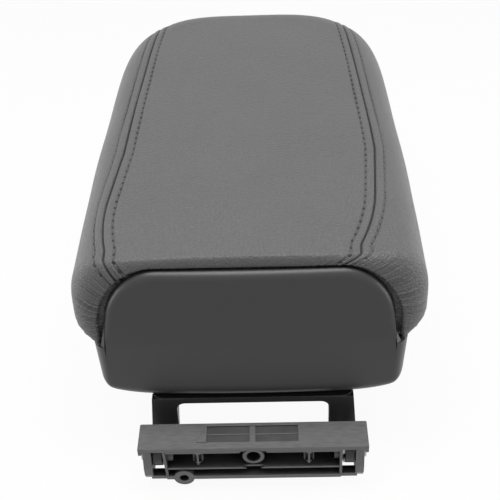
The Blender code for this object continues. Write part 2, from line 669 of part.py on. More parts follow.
def lower_shell():
    """The moulded tray under the pad, with its screw towers, bosses, bumper holes and latch mouth."""
    shell = add("lower_shell", grid_mesh("lower_shell", shell_points()), SHELL_PLASTIC)
    shape = both_halves(shell.data, 0.05 * MM)
    bmesh.ops.dissolve_degenerate(shape, edges=shape.edges, dist=0.02 * MM)
    bmesh.ops.recalc_face_normals(shape, faces=shape.faces)
    shape.normal_update()
    down = sum((face.normal.z * face.calc_area() for face in shape.faces), 0.0)
    if down > 0:
        bmesh.ops.reverse_faces(shape, faces=shape.faces)
    shape.to_mesh(shell.data)
    shape.free()
    wall = shell.modifiers.new("wall", "SOLIDIFY")
    wall.thickness = SHELL_WALL
    wall.offset = -1

    for name, x, y, floor in shell_screw_places():
        rim = BOARD_BOTTOM - LEATHER - 2 * GAP
        seat = rim - SEAT_DEPTH
        tower = cylinder(name + "_tower", (x, y, floor + 0.6 * MM), (x, y, rim), 6.6 * MM, sides=20)
        join(shell, tower)
        recess = cylinder(name + "_recess", (x, y, floor - 2 * MM), (x, y, seat), 4.6 * MM, sides=20)
        bore = cylinder(name + "_bore", (x, y, seat - MM), (x, y, rim + MM), 2.3 * MM, sides=16)
        cut(shell, recess, bore)
    for name, x, y in bracket_screw_places():
        top = SHELL_FLOOR + BOSS_HEIGHT
        boss = cylinder(name + "_boss", (x, y, SHELL_FLOOR + 0.6 * MM), (x, y, top), 4.4 * MM, sides=16)
        join(shell, boss)
        bore = cylinder(name + "_bore", (x, y, SHELL_FLOOR - MM), (x, y, top - 2 * MM), 2.0 * MM, sides=16)
        cut(shell, bore)
    for name, x in BUMPER_PLACES:
        start, end = (x, BUMPER_Y, FRONT_FLOOR - MM), (x, BUMPER_Y, FRONT_FLOOR + 6 * MM)
        cut(shell, cylinder(name + "_bore", start, end, 2.6 * MM))
    for side, sign in (("left", -1), ("right", 1)):
        lug = box(
            "latch_lug_" + side,
            (sign * (LATCH_HALF - 0.5 * MM), sign * (LATCH_HALF + 3.5 * MM)),
            LUG_Y,
            (FRONT_FLOOR + 0.7 * MM, SHELL_RIM - 1.3 * MM),
        )
        join(shell, lug)
    mouth_z = (FRONT_FLOOR - 3 * MM, SHELL_RIM - MM)
    mouth = box("latch_mouth", (-LATCH_HALF, LATCH_HALF), MOUTH_Y, mouth_z)
    half = LATCH_HALF + PIN_END + GAP
    pin_hole = cylinder(
        "latch_pin_hole",
        (-half, LATCH_Y, LATCH_Z),
        (half, LATCH_Y, LATCH_Z),
        LATCH_PIN_RADIUS + GAP,
        sides=16,
    )
    cut(shell, mouth, pin_hole)


# Latch

def latch():
    """The paddle under the nose, with its hook, pin and return spring."""
    lever = box(
        "latch_paddle",
        (-LATCH_HALF + 0.8 * MM, LATCH_HALF - 0.8 * MM),
        (LATCH_Y - 3 * MM, LATCH_Y + 17 * MM),
        (FRONT_FLOOR + 0.5 * MM, FRONT_FLOOR + 3.1 * MM),
        BLACK_PLASTIC,
    )
    lip_z = (FRONT_FLOOR - 4 * MM, FRONT_FLOOR + 1.5 * MM)
    lip = box("latch_lip", (-14 * MM, 14 * MM), (LATCH_Y + 14 * MM, LATCH_Y + 16.6 * MM), lip_z)
    barrel_end = 13 * MM
    barrel = cylinder(
        "latch_barrel", (-barrel_end, LATCH_Y, LATCH_Z), (barrel_end, LATCH_Y, LATCH_Z), 3.6 * MM, sides=20
    )
    hook_outline = [
        (LATCH_Y - 2.5 * MM, LATCH_Z),
        (LATCH_Y - 2.5 * MM, FRONT_FLOOR - 11 * MM),
        (LATCH_Y - 6.5 * MM, FRONT_FLOOR - 11 * MM),
        (LATCH_Y - 6.5 * MM, FRONT_FLOOR - 13 * MM),
        (LATCH_Y - MM, FRONT_FLOOR - 18 * MM),
        (LATCH_Y + 2.5 * MM, FRONT_FLOOR - 18 * MM),
        (LATCH_Y + 2.5 * MM, LATCH_Z),
    ]
    hook = prism("latch_hook", hook_outline, "X", -7 * MM, 7 * MM)
    join(lever, lip, barrel, hook)
    bore = cylinder(
        "latch_bore",
        (-LATCH_HALF, LATCH_Y, LATCH_Z),
        (LATCH_HALF, LATCH_Y, LATCH_Z),
        LATCH_PIN_RADIUS + GAP,
        sides=16,
    )
    cut(lever, bore)
    half = LATCH_HALF + PIN_END
    cylinder("latch_pin", (-half, LATCH_Y, LATCH_Z), (half, LATCH_Y, LATCH_Z), LATCH_PIN_RADIUS, STEEL, 16)

    turns, wire, coil, pitch, first_x = 3.5, 0.4 * MM, 2.6 * MM, 1.1 * MM, 15 * MM
    steps = 36
    route = [(first_x, LATCH_Y + 9 * MM, LATCH_Z - 1.9 * MM)]
    for step in range(steps + 1):
        turned = turns * step / steps
        angle = math.radians(-90) + 2 * math.pi * turned
        x = first_x + pitch * turned
        route.append((x, LATCH_Y + coil * math.cos(angle), LATCH_Z + coil * math.sin(angle)))
    route.append((first_x + pitch * turns, LATCH_Y - 7 * MM, LATCH_Z + coil))
    wire_tube("latch_spring", route, wire, STEEL)


def wire_tube(name, route, radius, finish):
    """A round wire along the points of the route."""
    curve = bpy.data.curves.new(name, "CURVE")
    curve.dimensions = "3D"
    curve.bevel_depth = radius
    curve.bevel_resolution = 1
    curve.use_fill_caps = True
    line = curve.splines.new("POLY")
    line.points.add(len(route) - 1)
    for point, place in zip(line.points, route):
        point.co = (*place, 1)
    made = bpy.data.objects.new(name, curve)
    curve.materials.append(finish)
    lid_parts.objects.link(made)


# Hinge base

def hinge_base():
    """The ribbed moulding that the hinge pins sit in, open to the rear."""
    foot, top = BASE_FOOT, BASE_TOP
    plate_y, plate_z = (-0.4 * MM, BASE_DEPTH), (top - PLATE, top)
    base = box("hinge_base", (-BASE_HALF, BASE_HALF), plate_y, plate_z, BASE_PLASTIC)
    under = top - PLATE + 0.6 * MM
    inner = (-POCKET_RIB - 0.5 * MM, POCKET_RIB)  # the left pocket rib slants out towards the plate
    pieces = [
        box("bottom_wall", inner, (0, BASE_DEPTH - 0.1 * MM), (foot, foot + WALL)),
        box("bottom_strip", (-EAR[0] - MM, EAR[0] + MM), (0.4 * MM, 5 * MM), (foot + 0.2 * MM, foot + WALL)),
        box("back_wall", inner, (BASE_DEPTH - WALL, BASE_DEPTH - 0.2 * MM), (foot + MM, under)),
        box("upper_rib", inner, (0.5 * MM, BASE_DEPTH - MM), (17 * MM, 17 * MM + RIB)),
        box("lower_rib", inner, (0.6 * MM, BASE_DEPTH - MM), (5.4 * MM, 5.4 * MM + RIB)),
    ]
    for side, sign in (("left", -1), ("right", 1)):
        ear_outline = [
            (0.5 * MM, under),
            (0.1 * MM, 14 * MM),
            (-1.0 * MM, 8 * MM),
            (-0.6 * MM, 3 * MM),
            (1.6 * MM, foot + 0.1 * MM),
            (11 * MM, foot + 0.1 * MM),
            (14 * MM, 2 * MM),
            (BASE_DEPTH - 0.3 * MM, 7 * MM),
            (BASE_DEPTH - 0.3 * MM, under),
        ]
        low, high = sorted((sign * EAR[0], sign * EAR[1]))
        pieces.append(prism("ear_" + side, ear_outline, "X", low, high))
        slant = -1 if side == "left" else 0
        rib_outline = [
            (sign * POCKET_RIB - RIB / 2 + slant * MM, under),
            (sign * POCKET_RIB + RIB / 2 + slant * MM, under),
            (sign * POCKET_RIB + RIB / 2, foot + 0.3 * MM),
            (sign * POCKET_RIB - RIB / 2, foot + 0.3 * MM),
        ]
        pieces.append(prism("pocket_rib_" + side, rib_outline, "Y", 0.2 * MM, BASE_DEPTH - 0.4 * MM))
        boss = cylinder(
            "pin_boss_" + side,
            (sign * (POCKET_RIB - 3 * MM), PIN.y, PIN.z),
            (sign * (POCKET_RIB + 0.2 * MM), PIN.y, PIN.z),
            4 * MM,
            sides=20,
        )
        pieces.append(boss)
        cup_x = sign * CUP_X
        cup_foot = CUP_TIP + 2.4 * MM
        cup = cylinder("cup_" + side, (cup_x, CUP_Y, cup_foot), (cup_x, CUP_Y, under), CUP_RADIUS, sides=16)
        tip = cylinder(
            "cup_tip_" + side,
            (cup_x, CUP_Y, CUP_TIP),
            (cup_x, CUP_Y, cup_foot + GAP),
            1.2 * MM,
            sides=16,
            end_radius=CUP_RADIUS - 0.1 * MM,
        )
        lip = box(
            "end_lip_" + side,
            (sign * (BASE_HALF - 1.2 * MM), sign * (BASE_HALF + 0.4 * MM)),
            (-0.2 * MM, 15 * MM),
            (top - 4.4 * MM, top - 0.1 * MM),
        )
        pieces += [cup, tip, lip]
    near, far = (0, 2.2 * MM, CENTRE_BOSS_Z), (0, BASE_DEPTH - MM, CENTRE_BOSS_Z)
    pieces.append(cylinder("centre_boss", near, far, 5.2 * MM, sides=24))
    near, far = (SCREW_BOSS_X, 0, SCREW_BOSS_Z), (SCREW_BOSS_X, BASE_DEPTH - 4.5 * MM, SCREW_BOSS_Z)
    pieces.append(cylinder("screw_boss", near, far, 5 * MM, sides=24))
    join(base, *pieces)

    bore_end = (0, BASE_DEPTH - 4 * MM, CENTRE_BOSS_Z)
    hole_start, hole_end = (SCREW_BOSS_X, -MM, SCREW_BOSS_Z), (SCREW_BOSS_X, BASE_DEPTH + MM, SCREW_BOSS_Z)
    cutters = [
        cylinder("centre_bore", (0, -MM, CENTRE_BOSS_Z), bore_end, 3.4 * MM, sides=20),
        cylinder("screw_hole", hole_start, hole_end, SCREW_HOLE_RADIUS, sides=20),
        box("top_recess", (-22 * MM, 21.5 * MM), (3.6 * MM, 13.4 * MM), (top - 0.7 * MM, top + MM)),
        cylinder("plate_notch", (0, -MM, 12.6 * MM), (0, 2 * MM, 12.6 * MM), 8.0 * MM, sides=32),
    ]
    fins = []
    for side, sign in (("left", -1), ("right", 1)):
        start, end = (sign * 38 * MM, PIN.y, PIN.z), (sign * 60 * MM, PIN.y, PIN.z)
        cutters.append(cylinder("pin_hole_" + side, start, end, PIN_RADIUS + GAP, sides=20))
        cup_x = sign * CUP_X
        start, end = (cup_x, 0, CUP_TIP + 2.2 * MM), (cup_x, 0, CUP_TIP + 8 * MM)
        cutters.append(cylinder("cup_hollow_" + side, start, end, CUP_RADIUS - 0.1 * MM, sides=16))
        half = 0.45 * MM
        fin_z = (CUP_TIP + 0.8 * MM, CUP_TIP + 9 * MM)
        fins.append(box("cup_fin_" + side, (cup_x - half, cup_x + half), (0.4 * MM, 4 * MM), fin_z))
    cut(base, *cutters)
    join(base, *fins)


def hinge_pins():
    """A headed pin in each side's bosses, and the bush that turns on it inside the arm's eye."""
    for side, sign in (("left", -1), ("right", 1)):
        pin = cylinder(
            "hinge_pin_" + side,
            (sign * 39.5 * MM, PIN.y, PIN.z),
            (sign * 53 * MM, PIN.y, PIN.z),
            PIN_RADIUS,
            STEEL,
            20,
        )
        head = cylinder(
            "pin_head_" + side,
            (sign * (EAR[1] + GAP), PIN.y, PIN.z),
            (sign * (EAR[1] + 1.3 * MM), PIN.y, PIN.z),
            3.4 * MM,
            sides=20,
        )
        join(pin, head)
        bush = cylinder(
            "hinge_bush_" + side,
            (sign * (BLADE[0] + 0.1 * MM), PIN.y, PIN.z),
            (sign * (BLADE[1] - 0.1 * MM), PIN.y, PIN.z),
            BUSH_RADIUS,
            BASE_PLASTIC,
            20,
        )
        start, end = (sign * 40 * MM, PIN.y, PIN.z), (sign * 52 * MM, PIN.y, PIN.z)
        bore = cylinder("bush_bore_" + side, start, end, PIN_RADIUS + GAP, sides=20)
        cut(bush, bore)


# Hinge bracket

def neck_outline():
    """Side view of the arm below the pin's height: an arc round the pin, ending in a square end."""
    outline = []
    for radius, first, last in ((NECK_OUTER, 6, NECK_END - 6), (NECK_INNER, NECK_END - 6, 6)):
        for step in range(9):
            angle = math.radians(first + (last - first) * step / 8)
            outline.append((PIN.y + radius * math.cos(angle), PIN.z + radius * math.sin(angle)))
    return outline


def hinge_bracket():
    """The black moulding under the shell: a flange, two legs down and the necks that reach the pins."""
    flange_z = (SHELL_FLOOR - GAP - 3.6 * MM, SHELL_FLOOR - GAP)
    rear = PIN.y + NECK_INNER
    flange = rounded(-ARM_OUTSIDE, ARM_OUTSIDE, rear + 0.1 * MM, 70 * MM, 6 * MM)
    bracket = prism("hinge_bracket", flange, "Z", *flange_z, BLACK_PLASTIC)
    fillet = 4 * MM
    low = PIN.z - MM
    parts = []
    for side, sign in (("left", -1), ("right", 1)):
        corner_z = flange_z[0] + 0.1 * MM
        leg = [
            (sign * ARM_OUTSIDE, flange_z[1] - 0.4 * MM),
            (sign * (ARM_OUTSIDE + ARM_FLARE), low),
            (sign * ARM_INSIDE, low),
        ]
        for step in range(6):
            angle = math.radians(90 * step / 5)
            x = ARM_INSIDE - fillet * (1 - math.cos(angle))
            leg.append((sign * x, corner_z - fillet * (1 - math.sin(angle))))
        leg.append((sign * (ARM_INSIDE - fillet), flange_z[1] - 0.4 * MM))
        if sign > 0:
            leg = leg[::-1]
        parts.append(prism("leg_" + side, leg, "Y", rear, PIN.y + NECK_OUTER))
        inner, outer = sorted((sign * (ARM_INSIDE + 2.6 * MM), sign * (ARM_OUTSIDE + ARM_FLARE - 0.2 * MM)))
        parts.append(prism("neck_" + side, neck_outline(), "X", inner, outer))
        turn = math.radians(NECK_END)
        ahead = Vector((math.cos(turn), math.sin(turn)))
        across = Vector((-ahead.y, ahead.x)) * 3.2 * MM
        near = Vector((PIN.y, PIN.z)) + ahead * 3 * MM
        far = Vector((PIN.y, PIN.z)) + ahead * 18 * MM
        blade = [tuple(near + across), tuple(near - across), tuple(far - across), tuple(far + across)]
        inner, outer = sorted((sign * BLADE[0], sign * BLADE[1]))
        parts.append(prism("blade_" + side, blade, "X", inner, outer))
        start, end = (inner, PIN.y, PIN.z), (outer, PIN.y, PIN.z)
        parts.append(cylinder("eye_" + side, start, end, EYE_RADIUS, sides=28))
        flange_inner, flange_outer = sorted((sign * ARM_INSIDE, sign * (ARM_INSIDE + 2 * MM)))
        web = [
            (rear + 3.6 * MM, low + MM),
            (rear + 9 * MM, PIN.z + 8 * MM),
            (rear + 12 * MM, flange_z[0] + MM),
            (rear + 3.6 * MM, flange_z[0] + MM),
        ]
        parts.append(prism("arm_web_" + side, web, "X", flange_inner + 0.1 * MM, flange_outer))
    join(bracket, *parts)
    for side, sign in (("left", -1), ("right", 1)):
        hole = cylinder(
            "eye_hole_" + side,
            (sign * 42 * MM, PIN.y, PIN.z),
            (sign * 50 * MM, PIN.y, PIN.z),
            BUSH_RADIUS + GAP,
            sides=24,
        )
        cut(bracket, hole)
    for name, x, y in bracket_screw_places():
        start, end = (x, y, flange_z[0] - MM), (x, y, flange_z[1] + MM)
        cut(bracket, cylinder(name + "_hole", start, end, 2.4 * MM, sides=16))
    return flange_z


def screw(name, x, y, seat, length):
    """A pan-head screw pointing up, with a cross recess, whose head's seat is at the height given."""
    made = cylinder(name, (x, y, seat - 2.4 * MM), (x, y, seat - GAP), 3.4 * MM, STEEL, 20, 3.9 * MM)
    shank = cylinder(name + "_shank", (x, y, seat - MM), (x, y, seat + length), 1.7 * MM, sides=14)
    join(made, shank)
    for label, long_x, long_y in (("a", 2.1, 0.45), ("b", 0.45, 2.1)):
        slot = box(
            f"{name}_slot_{label}",
            (x - long_x * MM, x + long_x * MM),
            (y - long_y * MM, y + long_y * MM),
            (seat - 3 * MM, seat - 1.3 * MM),
        )
        cut(made, slot)


def fasteners(flange_z):
    """The eight screws and the two bumpers that are pressed into the shell's floor."""
    for name, x, y in bracket_screw_places():
        screw(name, x, y, flange_z[0], 14 * MM)
    for name, x, y, _ in shell_screw_places():
        seat = BOARD_BOTTOM - LEATHER - 2 * GAP - SEAT_DEPTH
        screw(name, x, y, seat, 12.5 * MM)
    for name, x in BUMPER_PLACES:
        top = FRONT_FLOOR - GAP
        start, end = (x, BUMPER_Y, top - 3.2 * MM), (x, BUMPER_Y, top)
        bumper = cylinder(name, start, end, 4.6 * MM, RUBBER, 24, 6 * MM)
        start, end = (x, BUMPER_Y, top - MM), (x, BUMPER_Y, top + 5.2 * MM)
        join(bumper, cylinder(name + "_stem", start, end, 2.2 * MM, sides=16))


leather_cover()
foam_and_board()
lower_shell()
latch()
hinge_base()
hinge_pins()
fasteners(hinge_bracket())

for made in lid_parts.objects:
    if made.type == "MESH":
        made.data.shade_smooth()
        made.data.set_sharp_from_angle(angle=math.radians(35))
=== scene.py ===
"""Dresses a center console armrest lid: sewn leather pad, moulded shell, hinge arms and ribbed base.

Units are metres in the frame of the solids: X right, Y forward from the hinge to the nose, Z up.
"""

import math

import bmesh
import bpy
import numpy as np
from bpy.props import FloatProperty, FloatVectorProperty, IntProperty, PointerProperty
from mathutils import Euler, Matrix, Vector


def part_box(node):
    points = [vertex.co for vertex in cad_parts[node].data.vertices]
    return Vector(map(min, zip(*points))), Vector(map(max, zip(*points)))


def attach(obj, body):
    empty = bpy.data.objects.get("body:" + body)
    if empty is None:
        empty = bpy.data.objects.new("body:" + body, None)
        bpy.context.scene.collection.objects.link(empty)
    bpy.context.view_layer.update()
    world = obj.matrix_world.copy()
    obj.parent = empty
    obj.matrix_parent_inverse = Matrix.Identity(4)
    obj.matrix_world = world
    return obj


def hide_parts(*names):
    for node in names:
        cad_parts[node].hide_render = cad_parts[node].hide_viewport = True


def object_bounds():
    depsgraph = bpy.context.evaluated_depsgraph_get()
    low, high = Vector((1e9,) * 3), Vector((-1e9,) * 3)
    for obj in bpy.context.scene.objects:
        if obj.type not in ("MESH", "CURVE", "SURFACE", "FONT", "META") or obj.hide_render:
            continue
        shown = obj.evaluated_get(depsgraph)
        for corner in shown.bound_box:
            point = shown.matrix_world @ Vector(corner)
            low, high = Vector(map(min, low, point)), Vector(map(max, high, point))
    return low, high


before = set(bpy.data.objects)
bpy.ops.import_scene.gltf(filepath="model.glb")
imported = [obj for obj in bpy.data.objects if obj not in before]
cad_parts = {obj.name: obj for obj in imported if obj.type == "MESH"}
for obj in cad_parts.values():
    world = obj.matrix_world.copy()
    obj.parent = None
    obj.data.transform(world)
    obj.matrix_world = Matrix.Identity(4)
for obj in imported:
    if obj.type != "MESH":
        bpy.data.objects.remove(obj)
SOLID_BOX = [[float(value) for value in corner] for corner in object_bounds()]

bl_info = {
    "name": "Console armrest lid",
    "version": (1, 0, 0),
    "blender": (4, 5, 0),
    "location": "3D View > Sidebar > Armrest",
    "description": "Leather, plastics, seams and stage for a console armrest lid",
    "category": "Add Mesh",
}

MM = 0.001

# Places read from the solids

CENTRE_LOW, CENTRE_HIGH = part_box("centre_panel")
SHELL_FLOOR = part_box("lower_shell")[0][2]
BASE_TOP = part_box("hinge_base")[1][2]
BOARD_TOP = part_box("pad_board")[1][2]
LATCH_Y = sum(corner[1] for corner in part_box("latch_pin")) / 2

PAD_TOP = CENTRE_HIGH[2]
PAD_HEIGHT = PAD_TOP - CENTRE_LOW[2]
PAD_REAR = CENTRE_LOW[1]
PAD_NOSE = CENTRE_HIGH[1]
SHELL_RIM = CENTRE_LOW[2] - 0.3 * MM

# Pad

PAD_HALF = 82.5 * MM
NOSE_START = 182 * MM  # from here the plan outline rounds off
NOSE_LENGTH = PAD_NOSE - NOSE_START
NOSE_POWER = 3.5
SEAM_HALF = 64.5 * MM
SEAM_END = 56 * MM  # half the distance between the seams where they go down the nose
WIDEST = (86 * MM, 110 * MM)  # the seams stand furthest apart between these places
PINCH, PINCH_RUN = 10.5 * MM, 51 * MM  # how far each comes in behind them, over that distance
NARROWING, NARROWING_RUN = 6.5 * MM, 176 * MM  # and how far each comes in before them
CROWN = 1.6 * MM
SHOULDER_DROP = 28 * MM
BOTTOM_RADIUS = 9 * MM
FLAP = 13.5 * MM
NOSE_DROOP = 1.5 * MM
DROOP_START = 150 * MM
LEATHER = 1.2 * MM

# Arch in the pad's rear end

ARCH_HALF = 70.3 * MM
ARCH_DROP = 5.2 * MM
ARCH_RADIUS = 28 * MM
ROLL_SIDE = 16 * MM
ROLL_TOP = 3.2 * MM
SECTION_Y = 45 * MM  # the roll ends in the full section at this place
EDGE_BEND = 1.1 * MM  # radius where the leather turns into the gap
REAR_LEAN = 9.3 * MM  # the arch's edge leans forward by this much at its top
TUCK = 4 * MM  # depth at which the hidden flap turns down over the foam's rear end
TURNED_DOWN = 9 * MM
TAPER = 0.028  # the pad is narrower by this share towards its nose
TAPER_START, TAPER_RUN = 110 * MM, 110 * MM
SKEW = 7.6 * MM  # both seams stand this far to the left at y 37 mm, and up to a tenth more behind it
SKEW_END, SKEW_RUN = 125 * MM, 88 * MM

# Shell

SHELL_HALF = 74.2 * MM
SHELL_NOSE = 286 * MM
SHELL_WALL = 2.6 * MM
FRONT_FLOOR = SHELL_FLOOR + 18 * MM
STEP_START, STEP_RUN = 92 * MM, 34 * MM  # the floor rises to its front level here
SCREW_SEAT = SHELL_RIM - 8 * MM
WALL_FACE = 27.6 * MM  # the rear wall's outer face at its top, without the lean
SHELL_ARCH_HALF = 67 * MM
SHELL_ARCH_DROP = 6.4 * MM
SHELL_ARCH_RADIUS = 26 * MM
SHELL_LEAN = 6.6 * MM
TOP_LEAN = 5 * MM  # the rear wall's top leans forward by this much more
TOP_LEAN_HEIGHT = 36 * MM  # and this far down the added lean ends
CORNER_RISE = 7 * MM  # the floor's rear corners stand this much higher
CORNER_START, CORNER_RUN = 46 * MM, 29 * MM  # from the middle out
SHELL_BOTTOM_RADIUS = 7 * MM
SHELL_BOW = 2 * MM
SIDE_DRAFT = 0.075
CORNER_REAR = 25.6 * MM
CORNER_FRONT = CORNER_REAR + 12 * MM
SETTLED_Y = 60 * MM  # in front of this place the side wall is upright
CORNER_FLOOR = (64.3 * MM, 33 * MM)
CORNER_PULL = 0.54
FLOOR_AXIS = 58 * MM


# Settings

def length(name, description, default):
    """A size that a user may change."""
    return FloatProperty(name=name, description=description, default=default, unit="LENGTH", precision=5)


def colour(name, description, default):
    """A colour as sRGB hex."""
    return FloatVectorProperty(
        name=name, description=description, default=linear(default), size=3, subtype="COLOR", min=0, max=1
    )


def linear(code):
    """The linear colour of an sRGB hex value."""
    parts = (int(code[start:start + 2], 16) / 255 for start in (1, 3, 5))
    return tuple(part / 12.92 if part <= 0.04045 else ((part + 0.055) / 1.055) ** 2.4 for part in parts)


class ARMREST_sizes(bpy.types.PropertyGroup):
    """Sizes of the sewn and moulded detail."""

    stitch_pitch: length("Stitch pitch", "From one needle hole to the next", 5.1 * MM)
    stitch_inset: length("Stitch inset", "From the seam to each row of stitches", 4.7 * MM)
    thread: length("Thread", "Radius of the sewing thread", 0.32 * MM)
    seam_depth: length("Seam depth", "How deep the panels turn down at the seam", 1.0 * MM)
    puff: length("Puff", "How far the foam lifts the leather beside the stitches", 0.5 * MM)
    wrinkle: length("Wrinkle", "Height of the gathers round the arch", 0.6 * MM)
    grain: length("Grain", "Size of the embossed pebbles", 0.8 * MM)
    lip: length("Shell lip", "Radius of the rolled edge on the shell's rear wall", 3.7 * MM)
    drape_rows: IntProperty(
        name="Rows", description="Grid rows across a side panel", default=124, min=40, max=300
    )


class ARMREST_colours(bpy.types.PropertyGroup):
    """Colours of the finishes."""

    leather: colour("Leather", "Dyed leather", "#5a5a5a")
    thread: colour("Thread", "Bonded polyester thread", "#1c1c1c")
    shell: colour("Shell", "Textured plastic of the shell", "#2a2a2a")
    arms: colour("Arms", "Black nylon of the hinge arms", "#1f1f1f")
    base: colour("Base", "Glass-filled nylon of the hinge base", "#626262")
    steel: colour("Steel", "Zinc-plated steel", "#b4b4b4")
    foam: colour("Foam", "Moulded polyurethane foam", "#c9c3b0")
    rubber: colour("Rubber", "Rubber of the bumpers", "#1b1b1b")
    floor: colour("Floor", "Pale studio floor", "#f2f2f2")


def sizes():
    return bpy.context.scene.armrest_sizes


def colours():
    return bpy.context.scene.armrest_colours


# Material nodes

def set_inputs(tree, node, inputs):
    """Gives each input its value, or a link from another node's output socket."""
    for key, value in inputs.items():
        if isinstance(value, bpy.types.NodeSocket):
            tree.links.new(value, node.inputs[key])
        else:
            node.inputs[key].default_value = value


def add_node(tree, kind, inputs=None, **settings):
    """A node with its settings and inputs."""
    node = tree.nodes.new(kind)
    for name, value in settings.items():
        setattr(node, name, value)
    set_inputs(tree, node, inputs or {})
    return node


def blank_material(name):
    """A material with a bare Principled shader, its tree and its Object coordinates."""
    made = bpy.data.materials.get(name) or bpy.data.materials.new(name)
    made.use_nodes = True
    tree = made.node_tree
    tree.nodes.clear()
    shader = add_node(tree, "ShaderNodeBsdfPrincipled")
    output = add_node(tree, "ShaderNodeOutputMaterial")
    tree.links.new(shader.outputs["BSDF"], output.inputs["Surface"])
    where = add_node(tree, "ShaderNodeTexCoord").outputs["Object"]
    return made, tree, shader, where


def shade(base, factor):
    """A colour made lighter or darker, with alpha."""
    return (*(min(1.0, channel * factor) for channel in base), 1)


def noise(tree, where, scale, detail):
    """Cloudy noise of the given scale."""
    inputs = {"Vector": where, "Scale": scale, "Detail": detail}
    return add_node(tree, "ShaderNodeTexNoise", inputs).outputs["Fac"]


def two_colours(tree, value, base, factors, places=(0.0, 1.0)):
    """From one multiple of the base colour to another, as the value goes from one place to the other."""
    ramp = add_node(tree, "ShaderNodeValToRGB", {"Fac": value})
    for stop, factor, place in zip(ramp.color_ramp.elements, factors, places):
        stop.position = place
        stop.color = shade(base, factor)
    return ramp.outputs["Color"]


def mottled(tree, where, base, low, high, scale, detail=4.0):
    """Base colour that varies between low and high times itself, by noise of the given scale."""
    cloud = noise(tree, where, scale, detail)
    return two_colours(tree, cloud, base, (low, high), (0.3, 0.7)), cloud


def rough_between(tree, value, low, high):
    """A roughness from low to high as the value goes from 0.3 to 0.7."""
    inputs = {"Value": value, "From Min": 0.3, "From Max": 0.7, "To Min": low, "To Max": high}
    return add_node(tree, "ShaderNodeMapRange", inputs).outputs["Result"]


def bumped(tree, height, strength, distance, under=None):
    """Normals tilted by a height, on top of other normals where they are given."""
    bump = add_node(tree, "ShaderNodeBump", {"Strength": strength, "Distance": distance, "Height": height})
    if under is not None:
        tree.links.new(under, bump.inputs["Normal"])
    return bump.outputs["Normal"]


def soft_edge(tree, radius):
    """Normals that turn smoothly over an edge."""
    return add_node(tree, "ShaderNodeBevel", {"Radius": radius}, samples=4).outputs["Normal"]


def weighted(tree, value, factor, added):
    """A value times a factor, plus another value."""
    inputs = {0: value, 1: factor, 2: added}
    return add_node(tree, "ShaderNodeMath", inputs, operation="MULTIPLY_ADD").outputs["Value"]


def leather_material():
    """Split hide, dyed and embossed: pebbles under a millimetre across, fine creases and a dull sheen."""
    made, tree, shader, where = blank_material("dyed_embossed_leather")
    base = colours().leather
    grain = sizes().grain
    tint, cloud = mottled(tree, where, base, 0.9, 1.08, 28.0)
    pebble = add_node(
        tree, "ShaderNodeTexVoronoi", {"Vector": where, "Scale": 1 / grain}, feature="SMOOTH_F1"
    )
    crease = add_node(
        tree, "ShaderNodeTexVoronoi", {"Vector": where, "Scale": 0.42 / grain}, feature="DISTANCE_TO_EDGE"
    )
    valley = add_node(
        tree, "ShaderNodeMapRange", {"Value": crease.outputs["Distance"], "From Max": 0.16}
    ).outputs["Result"]
    height = weighted(tree, pebble.outputs["Distance"], -0.9, valley)
    height = weighted(tree, noise(tree, where, 2.2 / grain, 3.0), 0.35, height)
    # Painted shade: the grain's creases are coloured darker, at 0.88 of the base.
    darker = add_node(tree, "ShaderNodeMixRGB", {"Fac": valley, "Color1": shade(base, 0.88), "Color2": tint})
    set_inputs(tree, shader, {
        "Base Color": darker.outputs["Color"],
        "Roughness": rough_between(tree, cloud, 0.42, 0.54),
        "Normal": bumped(tree, height, 0.6, 0.24 * MM),
        "IOR": 1.5,
        "Sheen Weight": 0.12,
        "Sheen Roughness": 0.5,
    })
    return made


def moulded_plastic(name, base, roughness, grit, depth, speckle=0.06, edge=0.0):
    """Moulded plastic: even colour, spark-eroded grit of the given size, dull gloss."""
    made, tree, shader, where = blank_material(name)
    tint, _ = mottled(tree, where, base, 1 - speckle, 1 + speckle, 90.0, 6.0)
    pits = noise(tree, where, 1 / grit, 3.0)
    under = soft_edge(tree, edge) if edge else None
    set_inputs(tree, shader, {
        "Base Color": tint,
        "Roughness": rough_between(tree, pits, roughness - 0.05, roughness + 0.06),
        "Normal": bumped(tree, pits, 0.3, depth, under),
        "IOR": 1.52,
    })
    return made


def glass_filled_nylon():
    """Nylon with glass fibres: grey, streaked along the flow, with pale fibres, and painted shade in its
    hollows.
    """
    made, tree, shader, where = blank_material("glass_filled_nylon")
    base = colours().base
    stretched = add_node(tree, "ShaderNodeMapping", {"Vector": where, "Scale": (0.12, 1.0, 1.0)})
    streak = noise(tree, stretched.outputs["Vector"], 1500.0, 4.0)
    clean = two_colours(tree, streak, base, (0.84, 1.14), (0.34, 0.68))
    # Painted shade: where ambient occlusion finds a hollow, the colour goes towards an eighth of the base.
    hollow = add_node(tree, "ShaderNodeAmbientOcclusion", {"Distance": 12 * MM}, samples=8)
    painted_shade = add_node(
        tree, "ShaderNodeMapRange", {"Value": hollow.outputs["AO"], "From Min": 0.3, "From Max": 0.78}
    )
    shade_colour = shade(base, 0.12)
    with_painted_shade = add_node(
        tree, "ShaderNodeMixRGB", {"Fac": painted_shade.outputs["Result"], "Color1": shade_colour, "Color2": clean}
    )
    set_inputs(tree, shader, {
        "Base Color": with_painted_shade.outputs["Color"],
        "Roughness": rough_between(tree, streak, 0.4, 0.58),
        "Normal": bumped(tree, streak, 0.35, 0.12 * MM, soft_edge(tree, 0.3 * MM)),
        "IOR": 1.53,
    })
    return made


